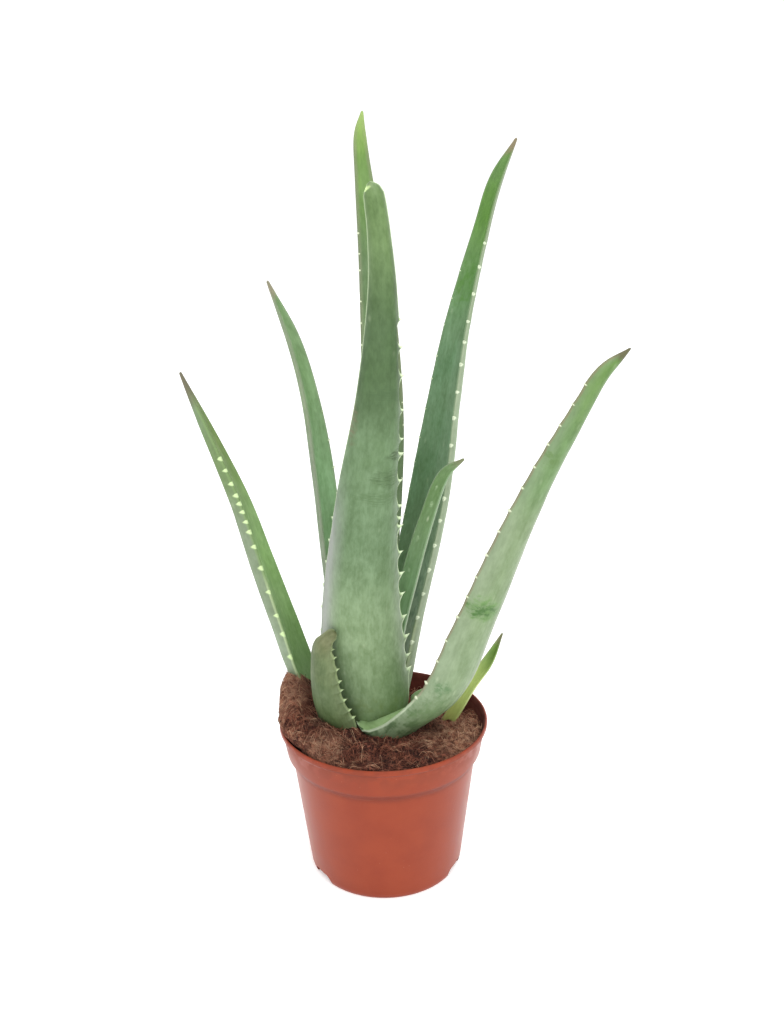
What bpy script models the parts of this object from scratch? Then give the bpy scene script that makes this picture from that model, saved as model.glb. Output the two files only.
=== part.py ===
"""Potted aloe vera: a rosette of toothed, fleshy leaves in a small plastic nursery pot.

Metres, +Z up. The origin is the centre of the pot's foot, on the ground, and -Y is the front.
"""
import math

import bmesh
import bpy
import numpy as np

MM = 0.001
GAP = 0.35  # clearance between touching pieces, in mm

# Pot, in mm
RIM_RADIUS = 60.0
POT_HEIGHT = 91.0
LIP_HEIGHT = 3.2
COLLAR_HEIGHT = 19.0
COLLAR_RADIUS = 56.0
BODY_RADIUS = 53.0
FOOT_RADIUS = 44.8
WALL = 1.4
CHANNEL_INNER = 29.0
CHANNEL_OUTER = 41.5
CHANNEL_HEIGHT = 5.2
NOTCH_WIDTH = 16.0
NOTCH_HEIGHT = 5.0
NOTCH_ANGLES = (-146, -26, 94)
DRAIN_COUNT = 6
DRAIN_RADIUS = 3.2
DRAIN_RING = 35.2
POT_STEPS = 48

# Potting mix, in mm
MIX_LEVEL = 88.0
MIX_STEPS = 42
OVERHANG = 2.6  # how far the mix reaches out over the rim's top, where it is heaped
OVERHANG_FROM = 5.0  # its height above the rim where it starts to overhang
OVERHANG_FULL = 9.0  # and where it overhangs all the way
HEAPS = (  # x, y, spread, height of each rise or dip in the surface
    (-54, 14, 13, 23),
    (-53, -9, 12, 10),
    (-4, 4, 26, 4),
    (-47, -27, 13, 7),
    (-27, -29, 9, 4.5),
    (-17, -26, 6, 2.5),
    (2, -50, 22, 2.5),
    (46, 18, 18, -6),
    (14, 48, 20, -9),
)

# Stem, in mm
STEM_X = -4.0
STEM_Y = 10.0
CROWN_TOP = 72.2
CROWN_RADIUS = 15.0
STEM_RADIUS = 7.5
STEM_FOOT = 42.0
ROOT_COUNT = 5
ROOT_RADIUS = 1.7

# Leaves
INNER_POINTS = 4
OUTER_POINTS = 7
MARGIN_EDGE = 0.9  # thickness of a leaf along its margin, in mm
TOOTH_LENGTH = 2.1
TOOTH_BASE = 1.7
PLAIN_STEP = 13.0


def clear_scene():
    for old in list(bpy.data.objects):
        bpy.data.objects.remove(old, do_unlink=True)


def new_collection(name):
    made = bpy.data.collections.new(name)
    bpy.context.scene.collection.children.link(made)
    return made


def principled(name, colour, roughness):
    """A plain, non-metallic surface; colour is linear red, green, blue."""
    made = bpy.data.materials.new(name)
    made.use_nodes = True
    shader = made.node_tree.nodes["Principled BSDF"]
    shader.inputs["Base Color"].default_value = (*colour, 1)
    shader.inputs["Roughness"].default_value = roughness
    shader.inputs["Metallic"].default_value = 0
    return made


def add_object(name, mesh, material, collection):
    made = bpy.data.objects.new(name, mesh)
    if material:
        mesh.materials.append(material)
    collection.objects.link(made)
    return made


def add_cutter(name, mesh):
    made = add_object(name, mesh, None, cutters)
    made.hide_render = True
    made.display_type = "WIRE"
    return made


def cut(target, cutter, operation="DIFFERENCE"):
    step = target.modifiers.new(cutter.name, "BOOLEAN")
    step.operation = operation
    step.solver = "EXACT"
    step.object = cutter


def apply_modifiers(target):
    graph = bpy.context.evaluated_depsgraph_get()
    mesh = bpy.data.meshes.new_from_object(target.evaluated_get(graph))
    target.modifiers.clear()
    target.data = mesh


def turned(name, profile, steps, material, collection):
    """A solid turned about Z from a closed outline of (radius, height) in mm, outer side first."""
    mesh = bpy.data.meshes.new(name)
    rows = [(radius * MM, 0, height * MM) for radius, height in profile]
    last = len(rows) - 1
    mesh.from_pydata(rows, [(i, i + 1) for i in range(last)], [])
    made = add_object(name, mesh, material, collection)
    screw = made.modifiers.new("turn", "SCREW")
    screw.steps = steps
    screw.render_steps = steps
    screw.use_merge_vertices = True
    screw.merge_threshold = 1e-5
    apply_modifiers(made)
    return made


# Pot


def pot_outline():
    """The pot's wall, from the middle of its floor's underside, out, up and back down inside."""
    top = POT_HEIGHT
    shoulder = top - COLLAR_HEIGHT
    lip = top - LIP_HEIGHT
    outside = [
        (RIM_RADIUS - 0.8, top),
        (RIM_RADIUS, top - 0.7),
        (RIM_RADIUS, lip + 0.5),
        (RIM_RADIUS - 1.5, lip - 0.4),
        (COLLAR_RADIUS + 0.3, shoulder + 1.8),
        (COLLAR_RADIUS - 0.5, shoulder + 0.5),
        (BODY_RADIUS + 0.4, shoulder - 2.2),
        (BODY_RADIUS, shoulder - 3.4),
        (FOOT_RADIUS, 2.6),
        (FOOT_RADIUS - 0.6, 0.9),
        (FOOT_RADIUS - 1.8, 0),
    ]
    under = [
        (CHANNEL_OUTER, 0),
        (CHANNEL_OUTER - 0.6, CHANNEL_HEIGHT),
        (CHANNEL_INNER + 1.2, CHANNEL_HEIGHT),
        (CHANNEL_INNER, 0),
        (0, 0),
    ]
    inside = [
        (0, WALL),
        (CHANNEL_INNER - 1.0, WALL),
        (CHANNEL_INNER + 0.2, CHANNEL_HEIGHT + WALL),
        (FOOT_RADIUS - 2.4, CHANNEL_HEIGHT + WALL),
        (FOOT_RADIUS - 0.7, CHANNEL_HEIGHT + WALL + 1.5),
        (BODY_RADIUS - WALL, shoulder - 3.2),
        (BODY_RADIUS - WALL + 0.7, shoulder - 1.0),
        (COLLAR_RADIUS - 2.0, shoulder + 1.0),
        (COLLAR_RADIUS - 1.2, shoulder + 2.4),
        (RIM_RADIUS - 3.0, lip),
        (RIM_RADIUS - 2.6, top - 0.5),
        (RIM_RADIUS - 2.0, top),
    ]
    return outside + under + inside + outside[:1]


def notch_cutter(angle):
    """A flat-bottomed arch through the foot's skirt, for water to run out."""
    deep = 4.0
    mesh = bpy.data.meshes.new("notch")
    shape = bmesh.new()
    bmesh.ops.create_cube(shape, size=1)
    size = ((CHANNEL_HEIGHT + deep) * MM, NOTCH_WIDTH * MM, 2 * NOTCH_HEIGHT * MM)
    bmesh.ops.scale(shape, vec=size, verts=shape.verts)
    along = [e for e in shape.edges if abs((e.verts[0].co - e.verts[1].co).normalized().x) > 0.9]
    bmesh.ops.bevel(shape, geom=along, offset=3.2 * MM, segments=3, profile=0.5, affect="EDGES")
    shape.to_mesh(mesh)
    shape.free()
    made = add_cutter("notch", mesh)
    turn = math.radians(angle)
    reach = (FOOT_RADIUS - 0.6) * MM
    made.location = (reach * math.cos(turn), reach * math.sin(turn), 0)
    made.rotation_euler.z = turn
    return made


def drain_cutter(angle):
    mesh = bpy.data.meshes.new("drain")
    shape = bmesh.new()
    bmesh.ops.create_cone(
        shape,
        cap_ends=True,
        segments=12,
        radius1=DRAIN_RADIUS * MM,
        radius2=DRAIN_RADIUS * MM,
        depth=4 * WALL * MM,
    )
    shape.to_mesh(mesh)
    shape.free()
    made = add_cutter("drain", mesh)
    turn = math.radians(angle)
    made.location = (
        DRAIN_RING * MM * math.cos(turn),
        DRAIN_RING * MM * math.sin(turn),
        (CHANNEL_HEIGHT + WALL / 2) * MM,
    )
    return made


def build_pot():
    terracotta = principled("terracotta_plastic", (0.43, 0.10, 0.055), 0.42)
    pot = turned("pot", pot_outline(), POT_STEPS, terracotta, plant)
    for angle in NOTCH_ANGLES:
        cut(pot, notch_cutter(angle))
    for index in range(DRAIN_COUNT):
        cut(pot, drain_cutter(360 * index / DRAIN_COUNT + 15))
    apply_modifiers(pot)
    pot.data.shade_smooth()
    pot.data.set_sharp_from_angle(angle=math.radians(35))


# Leaves


def smooth_line(points, count):
    """count rows spread along a smooth line that passes through the given rows."""
    rows = np.array(points, float).reshape(len(points), -1)
    rows = np.vstack([2 * rows[0] - rows[1], rows, 2 * rows[-1] - rows[-2]])
    spans = len(rows) - 3
    line = []
    for place in np.linspace(0, spans, count):
        start = min(int(place), spans - 1)
        f = place - start
        a, b, c, d = rows[start : start + 4]
        linear = (c - a) * f
        square = (2 * a - 5 * b + 4 * c - d) * f**2
        cube = (3 * b - 3 * c + d - a) * f**3
        line.append((2 * b + linear + square + cube) / 2)
    return np.array(line)


class Leaf:
    """One leaf: the line through the middle of its inner face, and its section along that line.

    through      points of that line, base to tip, in mm
    half_widths  half the blade's width at each of those points
    thickest     greatest depth of flesh behind the inner face
    facing       compass angles that the inner face looks to, base to tip, in degrees
    clasp        half angle that the section bends through, at the base and at the tip
    """

    SAMPLES = 160

    def __init__(self, through, half_widths, thickest, facing, clasp):
        self.path = smooth_line(through, self.SAMPLES)
        steps = np.linalg.norm(np.diff(self.path, axis=0), axis=1)
        self.far = np.concatenate([[0], np.cumsum(steps)])
        self.length = self.far[-1]
        self.half = smooth_line(half_widths, self.SAMPLES)[:, 0]
        widest = np.median(half_widths[: len(half_widths) // 2 + 1])
        self.depth = thickest * np.minimum(1, self.half / widest) ** 0.8
        share = np.linspace(0, 1, self.SAMPLES)
        self.turn = np.radians(np.interp(share, np.linspace(0, 1, len(facing)), facing))
        self.bend = np.radians(clasp[1] + (clasp[0] - clasp[1]) * (1 - share) ** 3)
        self.along = np.gradient(self.path, axis=0)
        self.along /= np.linalg.norm(self.along, axis=1)[:, None]

    def at(self, distance, values):
        values = np.asarray(values)
        if values.ndim == 1:
            return np.interp(distance, self.far, values)
        return np.array([np.interp(distance, self.far, column) for column in values.T])

    def ring(self, distance, tooth=0.0, grow=0.0, shrink=1.0):
        """The section's outline: its inner face from one margin to the other, then its outer face."""
        along = self.at(distance, self.along)
        along /= np.linalg.norm(along)
        middle = self.at(distance, self.path) + along * min(0.0, distance)
        turn = self.at(distance, self.turn)
        inward = np.array([math.cos(turn), math.sin(turn), 0])
        inward -= inward.dot(along) * along
        inward /= np.linalg.norm(inward)
        side = np.cross(along, inward)
        half = self.at(distance, self.half)
        radius = half / self.at(distance, self.bend)
        half = half * shrink + grow
        bend = half / radius
        depth = self.at(distance, self.depth) * shrink
        rows = []

        def place(share, behind):
            angle = bend * share
            outward = side * math.sin(angle) - inward * math.cos(angle)
            lateral = side * math.cos(angle) + inward * math.sin(angle)
            centre = middle + inward * radius
            point = centre + outward * (radius + behind)
            if tooth and abs(share) == 1:
                point = point + share * tooth * lateral + 0.4 * tooth * along
            rows.append(point)

        edge = MARGIN_EDGE * min(1, half / 3)
        for share in np.linspace(1, -1, INNER_POINTS):
            place(share, -grow)
        for share in np.linspace(-1, 1, OUTER_POINTS):
            flesh = depth * (1 - abs(share) ** 2.2) ** 0.75
            slim = 0.6 if tooth and abs(share) == 1 else 1.0
            place(share, edge * slim + flesh + grow)
        return rows

    def stops(self, teeth_from, teeth_to, teeth_gap):
        """Distances along the leaf that take a ring, each with the length of the tooth there."""
        found = [(0.0, 0.0, 0.55), (1.5, 0.0, 0.85), (4.0, 0.0, 1.0)]
        count = max(1, round((teeth_to - teeth_from) / teeth_gap)) if teeth_gap else 0
        first = teeth_from if teeth_gap else self.length
        plain = max(1, round((first - 4.0) / PLAIN_STEP))
        found += [(4 + (first - 4) * k / plain, 0.0, 1.0) for k in range(1, plain)]
        for k in range(count):
            place = teeth_from + (teeth_to - teeth_from) * (k + 0.5) / count
            size = TOOTH_LENGTH * (1 - 0.5 * place / self.length)
            found += [(place - TOOTH_BASE, 0.0, 1.0), (place, size, 1.0), (place + TOOTH_BASE, 0.0, 1.0)]
        last = found[-1][0]
        rest = max(1, round((self.length - last) / PLAIN_STEP))
        found += [(last + (self.length - last) * k / rest, 0.0, 1.0) for k in range(1, rest + 1)]
        return found

    def mesh(self, name, stops, grow=0.0):
        """A closed skin over the rings, with a flat foot and a pointed tip."""
        shape = bmesh.new()
        loops = []
        for distance, tooth, shrink in stops:
            rows = self.ring(distance, tooth, grow, shrink)
            loops.append([shape.verts.new(row * MM) for row in rows])
        around = len(loops[0])
        for low, high in zip(loops, loops[1:]):
            for k in range(around):
                m = (k + 1) % around
                shape.faces.new((low[k], low[m], high[m], high[k]))
        shape.faces.new(loops[0])
        tip = np.mean([v.co for v in loops[-1]], axis=0) + self.along[-1] * 0.8 * MM
        point = shape.verts.new(tip)
        for k in range(around):
            shape.faces.new((loops[-1][k], loops[-1][(k + 1) % around], point))
        bmesh.ops.recalc_face_normals(shape, faces=shape.faces)
        bmesh.ops.triangulate(shape, faces=shape.faces)
        mesh = bpy.data.meshes.new(name)
        shape.to_mesh(mesh)
        shape.free()
        return mesh

    def socket(self, name, stops, reach):
        """A slightly larger, toothless copy of the leaf's foot, which makes its hole in the mix."""
        plain = [(-0.6, 0.0, 1.0)] + [(d, 0.0, 1.0) for d, _, _ in stops if 3 < d < reach]
        return add_cutter(name, self.mesh(name, plain, grow=GAP))


def build_leaf(name, colour, leaf, teeth_from, teeth_gap, socket_reach):
    material = principled(name + "_skin", colour, 0.5)
    teeth_to = leaf.length * 0.93
    stops = leaf.stops(teeth_from, teeth_to, teeth_gap)
    mesh = leaf.mesh(name, stops)
    made = add_object(name, mesh, material, plant)
    mesh.shade_smooth()
    mesh.set_sharp_from_angle(angle=math.radians(40))
    sockets.append(leaf.socket(name + "_socket", stops, socket_reach))
    return made


def build_leaves():
    build_leaf(
        "leaf_front",
        (0.24, 0.36, 0.20),
        Leaf(
            through=[
                (-3, 5, 74),
                (-4, 1, 86),
                (-5, -3, 98),
                (-9.3, -10, 128),
                (-9.6, -22, 173),
                (-5, -32, 231),
                (1.8, -38, 284),
                (4.5, -40, 332),
                (3.7, -38, 360),
                (1.9, -36.5, 377),
                (1.0, -36.2, 381.5),
                (-0.2, -36, 384.8),
            ],
            half_widths=[9, 15, 21, 24.4, 21.8, 16.3, 11.4, 7.1, 5.5, 4.9, 4.2, 1.5],
            thickest=11,
            facing=(80, 96, 102, 94),
            clasp=(46, 26),
        ),
        teeth_from=30,
        teeth_gap=15,
        socket_reach=36,
    )
    build_leaf(
        "leaf_back_tall",
        (0.20, 0.36, 0.15),
        Leaf(
            through=[
                (-5, 20, 74),
                (-5, 26, 128),
                (0.6, 38, 211),
                (2.8, 43, 269),
                (0.3, 48, 335),
                (-4.8, 50, 388),
                (-6.3, 50, 410),
                (-4.9, 50, 422.5),
            ],
            half_widths=[7, 10, 12.4, 11.8, 8.8, 4.6, 3.0, 0.6],
            thickest=8,
            facing=(-90, -90, -75),
            clasp=(40, 30),
        ),
        teeth_from=36,
        teeth_gap=16,
        socket_reach=30,
    )
    build_leaf(
        "leaf_back_right",
        (0.13, 0.27, 0.13),
        Leaf(
            through=[
                (7, 25, 74),
                (12.3, 38, 128),
                (29, 50, 206),
                (38.5, 58, 265),
                (47.1, 64, 310),
                (60.5, 70, 360),
                (68.8, 73, 387),
                (80.4, 75, 409),
            ],
            half_widths=[7, 13, 13.6, 9.9, 7.2, 4.3, 3.5, 0.6],
            thickest=8,
            facing=(-138, -130, -120, -114),
            clasp=(40, 30),
        ),
        teeth_from=36,
        teeth_gap=16,
        socket_reach=30,
    )
    build_leaf(
        "leaf_inner_small",
        (0.22, 0.36, 0.18),
        Leaf(
            through=[
                (3, 10, 76),
                (6.6, 11, 128),
                (18, 17, 173),
                (28.3, 22, 206),
                (36.9, 24, 228),
                (48.8, 25, 237.4),
            ],
            half_widths=[4, 5.2, 5.2, 4.3, 3.3, 0.6],
            thickest=4,
            facing=(-112, -100),
            clasp=(40, 40),
        ),
        teeth_from=40,
        teeth_gap=16,
        socket_reach=28,
    )
    build_leaf(
        "leaf_back_left",
        (0.22, 0.36, 0.18),
        Leaf(
            through=[
                (-15, 24, 74),
                (-23.9, 31, 128),
                (-27.5, 34, 175),
                (-32.2, 40, 229),
                (-37.7, 44, 269),
                (-46.4, 48, 303),
                (-59.7, 50, 335),
            ],
            half_widths=[6, 6.4, 6.6, 6.4, 4.9, 3.7, 0.6],
            thickest=6,
            facing=(-34, -52, -48, -44),
            clasp=(40, 30),
        ),
        teeth_from=36,
        teeth_gap=16,
        socket_reach=30,
    )
    build_leaf(
        "leaf_left",
        (0.20, 0.34, 0.14),
        Leaf(
            through=[
                (-22, 12, 74),
                (-43.2, 16, 106),
                (-55.4, 15, 146),
                (-65.6, 14, 183),
                (-75.5, 13, 219),
                (-89.7, 12, 257),
                (-104.1, 12, 291),
            ],
            half_widths=[6, 8.1, 7.9, 7.3, 5.9, 3.5, 0.6],
            thickest=8,
            facing=(-42, -19, -7),
            clasp=(45, 30),
        ),
        teeth_from=50,
        teeth_gap=12,
        socket_reach=56,
    )
    build_leaf(
        "leaf_right",
        (0.33, 0.47, 0.26),
        Leaf(
            through=[
                (0, -11, 73),
                (7.4, -9.4, 85),
                (13.5, -12.3, 96),
                (35, -23, 120),
                (49.8, -24, 155),
                (64.1, -28, 195),
                (79.8, -32, 235),
                (99.3, -36, 275),
                (110, -38, 295),
                (122.5, -40, 307),
            ],
            half_widths=[16, 27, 21, 19.2, 17.2, 14.9, 10.7, 7.3, 5.0, 0.6],
            thickest=8,
            facing=(118, 135, 154, 146, 141, 142, 141, 139, 137, 136),
            clasp=(57, 25),
        ),
        teeth_from=48,
        teeth_gap=15,
        socket_reach=64,
    )
    build_leaf(
        "leaf_front_stub",
        (0.16, 0.25, 0.10),
        Leaf(
            through=[
                (-21, -7, 74),
                (-29, -16.5, 102),
                (-31.3, -22, 120),
                (-31.6, -26, 138),
                (-31.2, -28, 148),
                (-28.9, -29, 153),
                (-25.8, -30, 156.4),
                (-24.2, -30.2, 157.4),
            ],
            half_widths=[10, 15, 11.1, 8.6, 6.4, 3.6, 2.9, 1.6],
            thickest=5.5,
            facing=(37, 53),
            clasp=(55, 45),
        ),
        teeth_from=32,
        teeth_gap=6,
        socket_reach=34,
    )
    build_leaf(
        "offset_shoot",
        (0.34, 0.46, 0.15),
        Leaf(
            through=[
                (37, 8, 74),
                (42.9, 4, 90),
                (50.5, 3, 108),
                (60.6, 2, 124),
                (68.2, 1, 141),
            ],
            half_widths=[3.4, 3.5, 3.2, 2.8, 0.5],
            thickest=2.4,
            facing=(-130, -125),
            clasp=(50, 40),
        ),
        teeth_from=0,
        teeth_gap=0,
        socket_reach=36,
    )


# Stem and roots


def root_curve(index):
    """One thick root that leaves the stem's foot and bends down and out."""
    turn = 2 * math.pi * index / ROOT_COUNT + 0.4
    curve = bpy.data.curves.new("root", "CURVE")
    curve.dimensions = "3D"
    curve.bevel_depth = ROOT_RADIUS * MM
    curve.bevel_resolution = 1
    curve.use_fill_caps = True
    spline = curve.splines.new("POLY")
    reaches = ((2, 6), (9, 1), (17, -9), (22, -21))
    spline.points.add(len(reaches) - 1)
    for point, (out, up) in zip(spline.points, reaches):
        x = (STEM_X + out * math.cos(turn)) * MM
        y = (STEM_Y + out * math.sin(turn)) * MM
        point.co = (x, y, (STEM_FOOT + up) * MM, 1)
    return add_object("root", curve, None, cutters)


def as_mesh(curve_object):
    graph = bpy.context.evaluated_depsgraph_get()
    mesh = bpy.data.meshes.new_from_object(curve_object.evaluated_get(graph))
    shape = bmesh.new()
    shape.from_mesh(mesh)
    bmesh.ops.remove_doubles(shape, verts=shape.verts, dist=1e-6)
    shape.to_mesh(mesh)
    shape.free()
    bpy.data.objects.remove(curve_object, do_unlink=True)
    return mesh


def build_stem():
    bark = principled("stem_bark", (0.22, 0.14, 0.07), 0.8)
    outline = [
        (0, CROWN_TOP),
        (CROWN_RADIUS - 3, CROWN_TOP),
        (CROWN_RADIUS, CROWN_TOP - 2.5),
        (STEM_RADIUS + 2, CROWN_TOP - 12),
        (STEM_RADIUS, STEM_FOOT + 8),
        (STEM_RADIUS - 2, STEM_FOOT),
        (0, STEM_FOOT),
    ]
    stem = turned("stem", outline, 16, bark, plant)
    for vertex in stem.data.vertices:
        vertex.co.x += STEM_X * MM
        vertex.co.y += STEM_Y * MM
    for index in range(ROOT_COUNT):
        root = add_cutter("root_%d" % index, as_mesh(root_curve(index)))
        cut(stem, root, "UNION")
    apply_modifiers(stem)
    return stem


def grown_copy(source, name, by):
    """A copy with every point moved out along its normal, which clears the source by that much."""
    mesh = source.data.copy()
    shape = bmesh.new()
    shape.from_mesh(mesh)
    shape.normal_update()
    moves = [vertex.normal * by * MM for vertex in shape.verts]
    for vertex, move in zip(shape.verts, moves):
        vertex.co += move
    shape.to_mesh(mesh)
    shape.free()
    return add_cutter(name, mesh)


# Potting mix


def mix_height(x, y):
    """Height of the mix's surface in mm, with its heaps and small lumps."""
    height = MIX_LEVEL
    for centre_x, centre_y, spread, rise in HEAPS:
        square = ((x - centre_x) ** 2 + (y - centre_y) ** 2) / spread**2
        height += rise * math.exp(-square / 2)
    height += 0.9 * math.sin(0.31 * x + 1.0) * math.cos(0.27 * y)
    height += 0.6 * math.sin(0.17 * x - 0.23 * y + 2.0)
    return height


def inner_radius(height):
    """Radius of the collar's inner wall at a height in mm."""
    low = (COLLAR_RADIUS - 1.2, POT_HEIGHT - COLLAR_HEIGHT + 2.4)
    high = (RIM_RADIUS - 3.0, POT_HEIGHT - LIP_HEIGHT)
    share = (height - low[1]) / (high[1] - low[1])
    return low[0] + (high[0] - low[0]) * min(1.0, max(0.0, share))


def mix_below():
    """Half outline of the mix under the collar, down the pot's wall, then in along its floor."""
    shoulder = POT_HEIGHT - COLLAR_HEIGHT
    floor = CHANNEL_HEIGHT + WALL + GAP
    return [
        (COLLAR_RADIUS - 1.2 - GAP, shoulder + 2.4),
        (COLLAR_RADIUS - 2.4 - GAP, shoulder + 1.0),
        (BODY_RADIUS - WALL + 0.3 - GAP, shoulder - 1.0),
        (BODY_RADIUS - WALL - GAP, shoulder - 3.4),
        (FOOT_RADIUS - 0.9 - GAP, CHANNEL_HEIGHT + WALL + 1.8),
        (FOOT_RADIUS - 2.6 - GAP, floor),
        (CHANNEL_INNER + 0.2 - GAP, floor),
        (CHANNEL_INNER - 1.2 - GAP, WALL + GAP),
    ]


def mix_column(turn):
    """The mix's outline at one angle, from near its middle, over its edge and down to its floor.

    Where the mix is heaped above the rim, its edge overhangs the rim's top.
    """
    across, deep = math.cos(turn), math.sin(turn)
    rows = []
    for radius in (7, 14, 21, 28, 35, 42, 48, 53):
        rows.append((radius, mix_height(radius * across, radius * deep)))
    edge = mix_height(56 * across, 56 * deep)
    rise = edge - POT_HEIGHT
    over = min(1.0, max(0.0, (rise - OVERHANG_FROM) / (OVERHANG_FULL - OVERHANG_FROM)))
    seat = POT_HEIGHT + GAP
    inside = inner_radius(edge) - GAP - 0.2
    rows.append((inside + OVERHANG * over, edge - 0.4 - 3.0 * over))
    if edge > seat + 1.0:
        rows.append((inside + (OVERHANG - 0.2) * over, seat + 0.2))
        rows.append((inside, seat))
    else:
        rows.append((inner_radius(edge - 2) - GAP, edge - 2))
        rows.append((inner_radius(edge - 4) - GAP, edge - 4))
    return rows + mix_below()


def mix_mesh():
    shape = bmesh.new()
    columns = []
    for step in range(MIX_STEPS):
        turn = 2 * math.pi * step / MIX_STEPS
        column = []
        for radius, height in mix_column(turn):
            place = (radius * math.cos(turn) * MM, radius * math.sin(turn) * MM, height * MM)
            column.append(shape.verts.new(place))
        columns.append(column)
    middle = shape.verts.new((0, 0, mix_height(0, 0) * MM))
    floor = shape.verts.new((0, 0, (WALL + GAP) * MM))
    for step, near in enumerate(columns):
        far = columns[(step + 1) % MIX_STEPS]
        shape.faces.new((middle, near[0], far[0]))
        for k in range(len(near) - 1):
            shape.faces.new((near[k], near[k + 1], far[k + 1], far[k]))
        shape.faces.new((near[-1], floor, far[-1]))
    bmesh.ops.recalc_face_normals(shape, faces=shape.faces)
    bmesh.ops.triangulate(shape, faces=shape.faces)
    mesh = bpy.data.meshes.new("potting_mix")
    shape.to_mesh(mesh)
    shape.free()
    return mesh


def build_mix(stem):
    peat = principled("potting_mix", (0.09, 0.045, 0.025), 0.95)
    mix = add_object("potting_mix", mix_mesh(), peat, plant)
    for socket in sockets:
        cut(mix, socket)
    cut(mix, grown_copy(stem, "stem_socket", GAP))
    apply_modifiers(mix)


clear_scene()
plant = new_collection("potted_aloe")
cutters = new_collection("cutters")
sockets = []
build_pot()
build_leaves()
build_mix(build_stem())
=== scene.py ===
"""Potted aloe vera in a plain studio: a nursery pot, its potting mix and nine toothed leaves.

The pieces are worked out in millimetres, and their meshes are written in metres. +Z is up, and -Y
is the front.
"""
import math

import bmesh
import bpy
import numpy as np
from mathutils import Matrix, Vector, noise


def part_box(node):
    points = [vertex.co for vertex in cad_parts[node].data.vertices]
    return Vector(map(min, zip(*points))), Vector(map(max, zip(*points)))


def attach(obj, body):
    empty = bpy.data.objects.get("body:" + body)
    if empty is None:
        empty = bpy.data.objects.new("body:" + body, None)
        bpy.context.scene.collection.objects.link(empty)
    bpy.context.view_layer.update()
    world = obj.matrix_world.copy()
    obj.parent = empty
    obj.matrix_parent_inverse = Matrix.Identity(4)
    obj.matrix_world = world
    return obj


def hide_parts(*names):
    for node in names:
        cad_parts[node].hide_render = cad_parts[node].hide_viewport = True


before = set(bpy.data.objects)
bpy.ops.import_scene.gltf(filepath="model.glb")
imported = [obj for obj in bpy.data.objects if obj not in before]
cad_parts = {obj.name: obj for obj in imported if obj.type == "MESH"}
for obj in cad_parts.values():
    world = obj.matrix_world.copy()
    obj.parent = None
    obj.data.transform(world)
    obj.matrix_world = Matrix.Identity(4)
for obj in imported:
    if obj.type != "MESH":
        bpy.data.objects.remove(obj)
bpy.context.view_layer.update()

# Pot
# A round nursery pot, moulded in one piece from terracotta-red plastic: a thin tapered wall, a deep
# collar and a rolled lip. Three arches in its foot and six holes in its floor let the water out.
MM = 0.001
RIM_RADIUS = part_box("pot")[1].x / MM
POT_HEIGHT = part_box("pot")[1].z / MM
LIP_HEIGHT = 3.2
COLLAR_HEIGHT = 19.0
COLLAR_RADIUS = 56.0
BODY_RADIUS = 53.0
FOOT_RADIUS = 44.8
WALL = 1.4
CHANNEL_INNER = 29.0
CHANNEL_OUTER = 41.5
CHANNEL_HEIGHT = 5.2
NOTCH_WIDTH = 16.0
NOTCH_HEIGHT = 5.0
NOTCH_ANGLES = (-146, -26, 94)
DRAIN_COUNT = 6
DRAIN_RADIUS = 3.2
DRAIN_RING = 35.2
CORNER_REACH = 1.1
CORNER_STEPS = 4
ARCH_ROUNDING = 3.6
POT_STEPS = 192


def rounded(outline):
    """The same line with each corner turned into a short curve."""
    line = [Vector(point) for point in outline]
    smooth = [line[0]]
    for before, corner, after in zip(line, line[1:], line[2:]):
        back, on = before - corner, after - corner
        start = corner + back.normalized() * min(CORNER_REACH, back.length * 0.45)
        end = corner + on.normalized() * min(CORNER_REACH, on.length * 0.45)
        for step in range(CORNER_STEPS + 1):
            f = step / CORNER_STEPS
            smooth.append(start.lerp(corner, f).lerp(corner.lerp(end, f), f))
    return smooth + [line[-1]]


def mesh_from(name, shape):
    """The mesh of a finished bmesh, which is dropped."""
    mesh = bpy.data.meshes.new(name)
    shape.to_mesh(mesh)
    shape.free()
    return mesh


def turned(name, outline, steps):
    """A closed mesh turned about Z from (radius, height) points that start and end on the axis."""
    shape = bmesh.new()
    rows = [shape.verts.new((radius * MM, 0, height * MM)) for radius, height in outline]
    edges = [shape.edges.new(pair) for pair in zip(rows, rows[1:])]
    bmesh.ops.spin(
        shape,
        geom=rows + edges,
        cent=(0, 0, 0),
        axis=(0, 0, 1),
        angle=2 * math.pi,
        steps=steps,
        use_merge=True,
    )
    bmesh.ops.remove_doubles(shape, verts=shape.verts, dist=1e-6)
    bmesh.ops.recalc_face_normals(shape, faces=shape.faces)
    return mesh_from(name, shape)


def add_piece(name, mesh, material, slot, *nodes):
    """A piece of the plant or pot: it rides on the one body and stands for the given CAD nodes."""
    made = bpy.data.objects.new(name, mesh)
    bpy.context.scene.collection.objects.link(made)
    mesh.materials.clear()
    mesh.materials.append(material)
    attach(made, "root")
    if nodes:
        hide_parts(*nodes)
    return made


def carve(piece, cutter_mesh):
    """Cuts a mesh out of a piece and drops the cutter."""
    cutter = bpy.data.objects.new("cutter", cutter_mesh)
    bpy.context.scene.collection.objects.link(cutter)
    step = piece.modifiers.new("carve", "BOOLEAN")
    step.solver = "EXACT"
    step.object = cutter
    bpy.context.view_layer.update()
    graph = bpy.context.evaluated_depsgraph_get()
    mesh = bpy.data.meshes.new_from_object(piece.evaluated_get(graph))
    piece.modifiers.clear()
    piece.data = mesh
    bpy.data.objects.remove(cutter)


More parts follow.
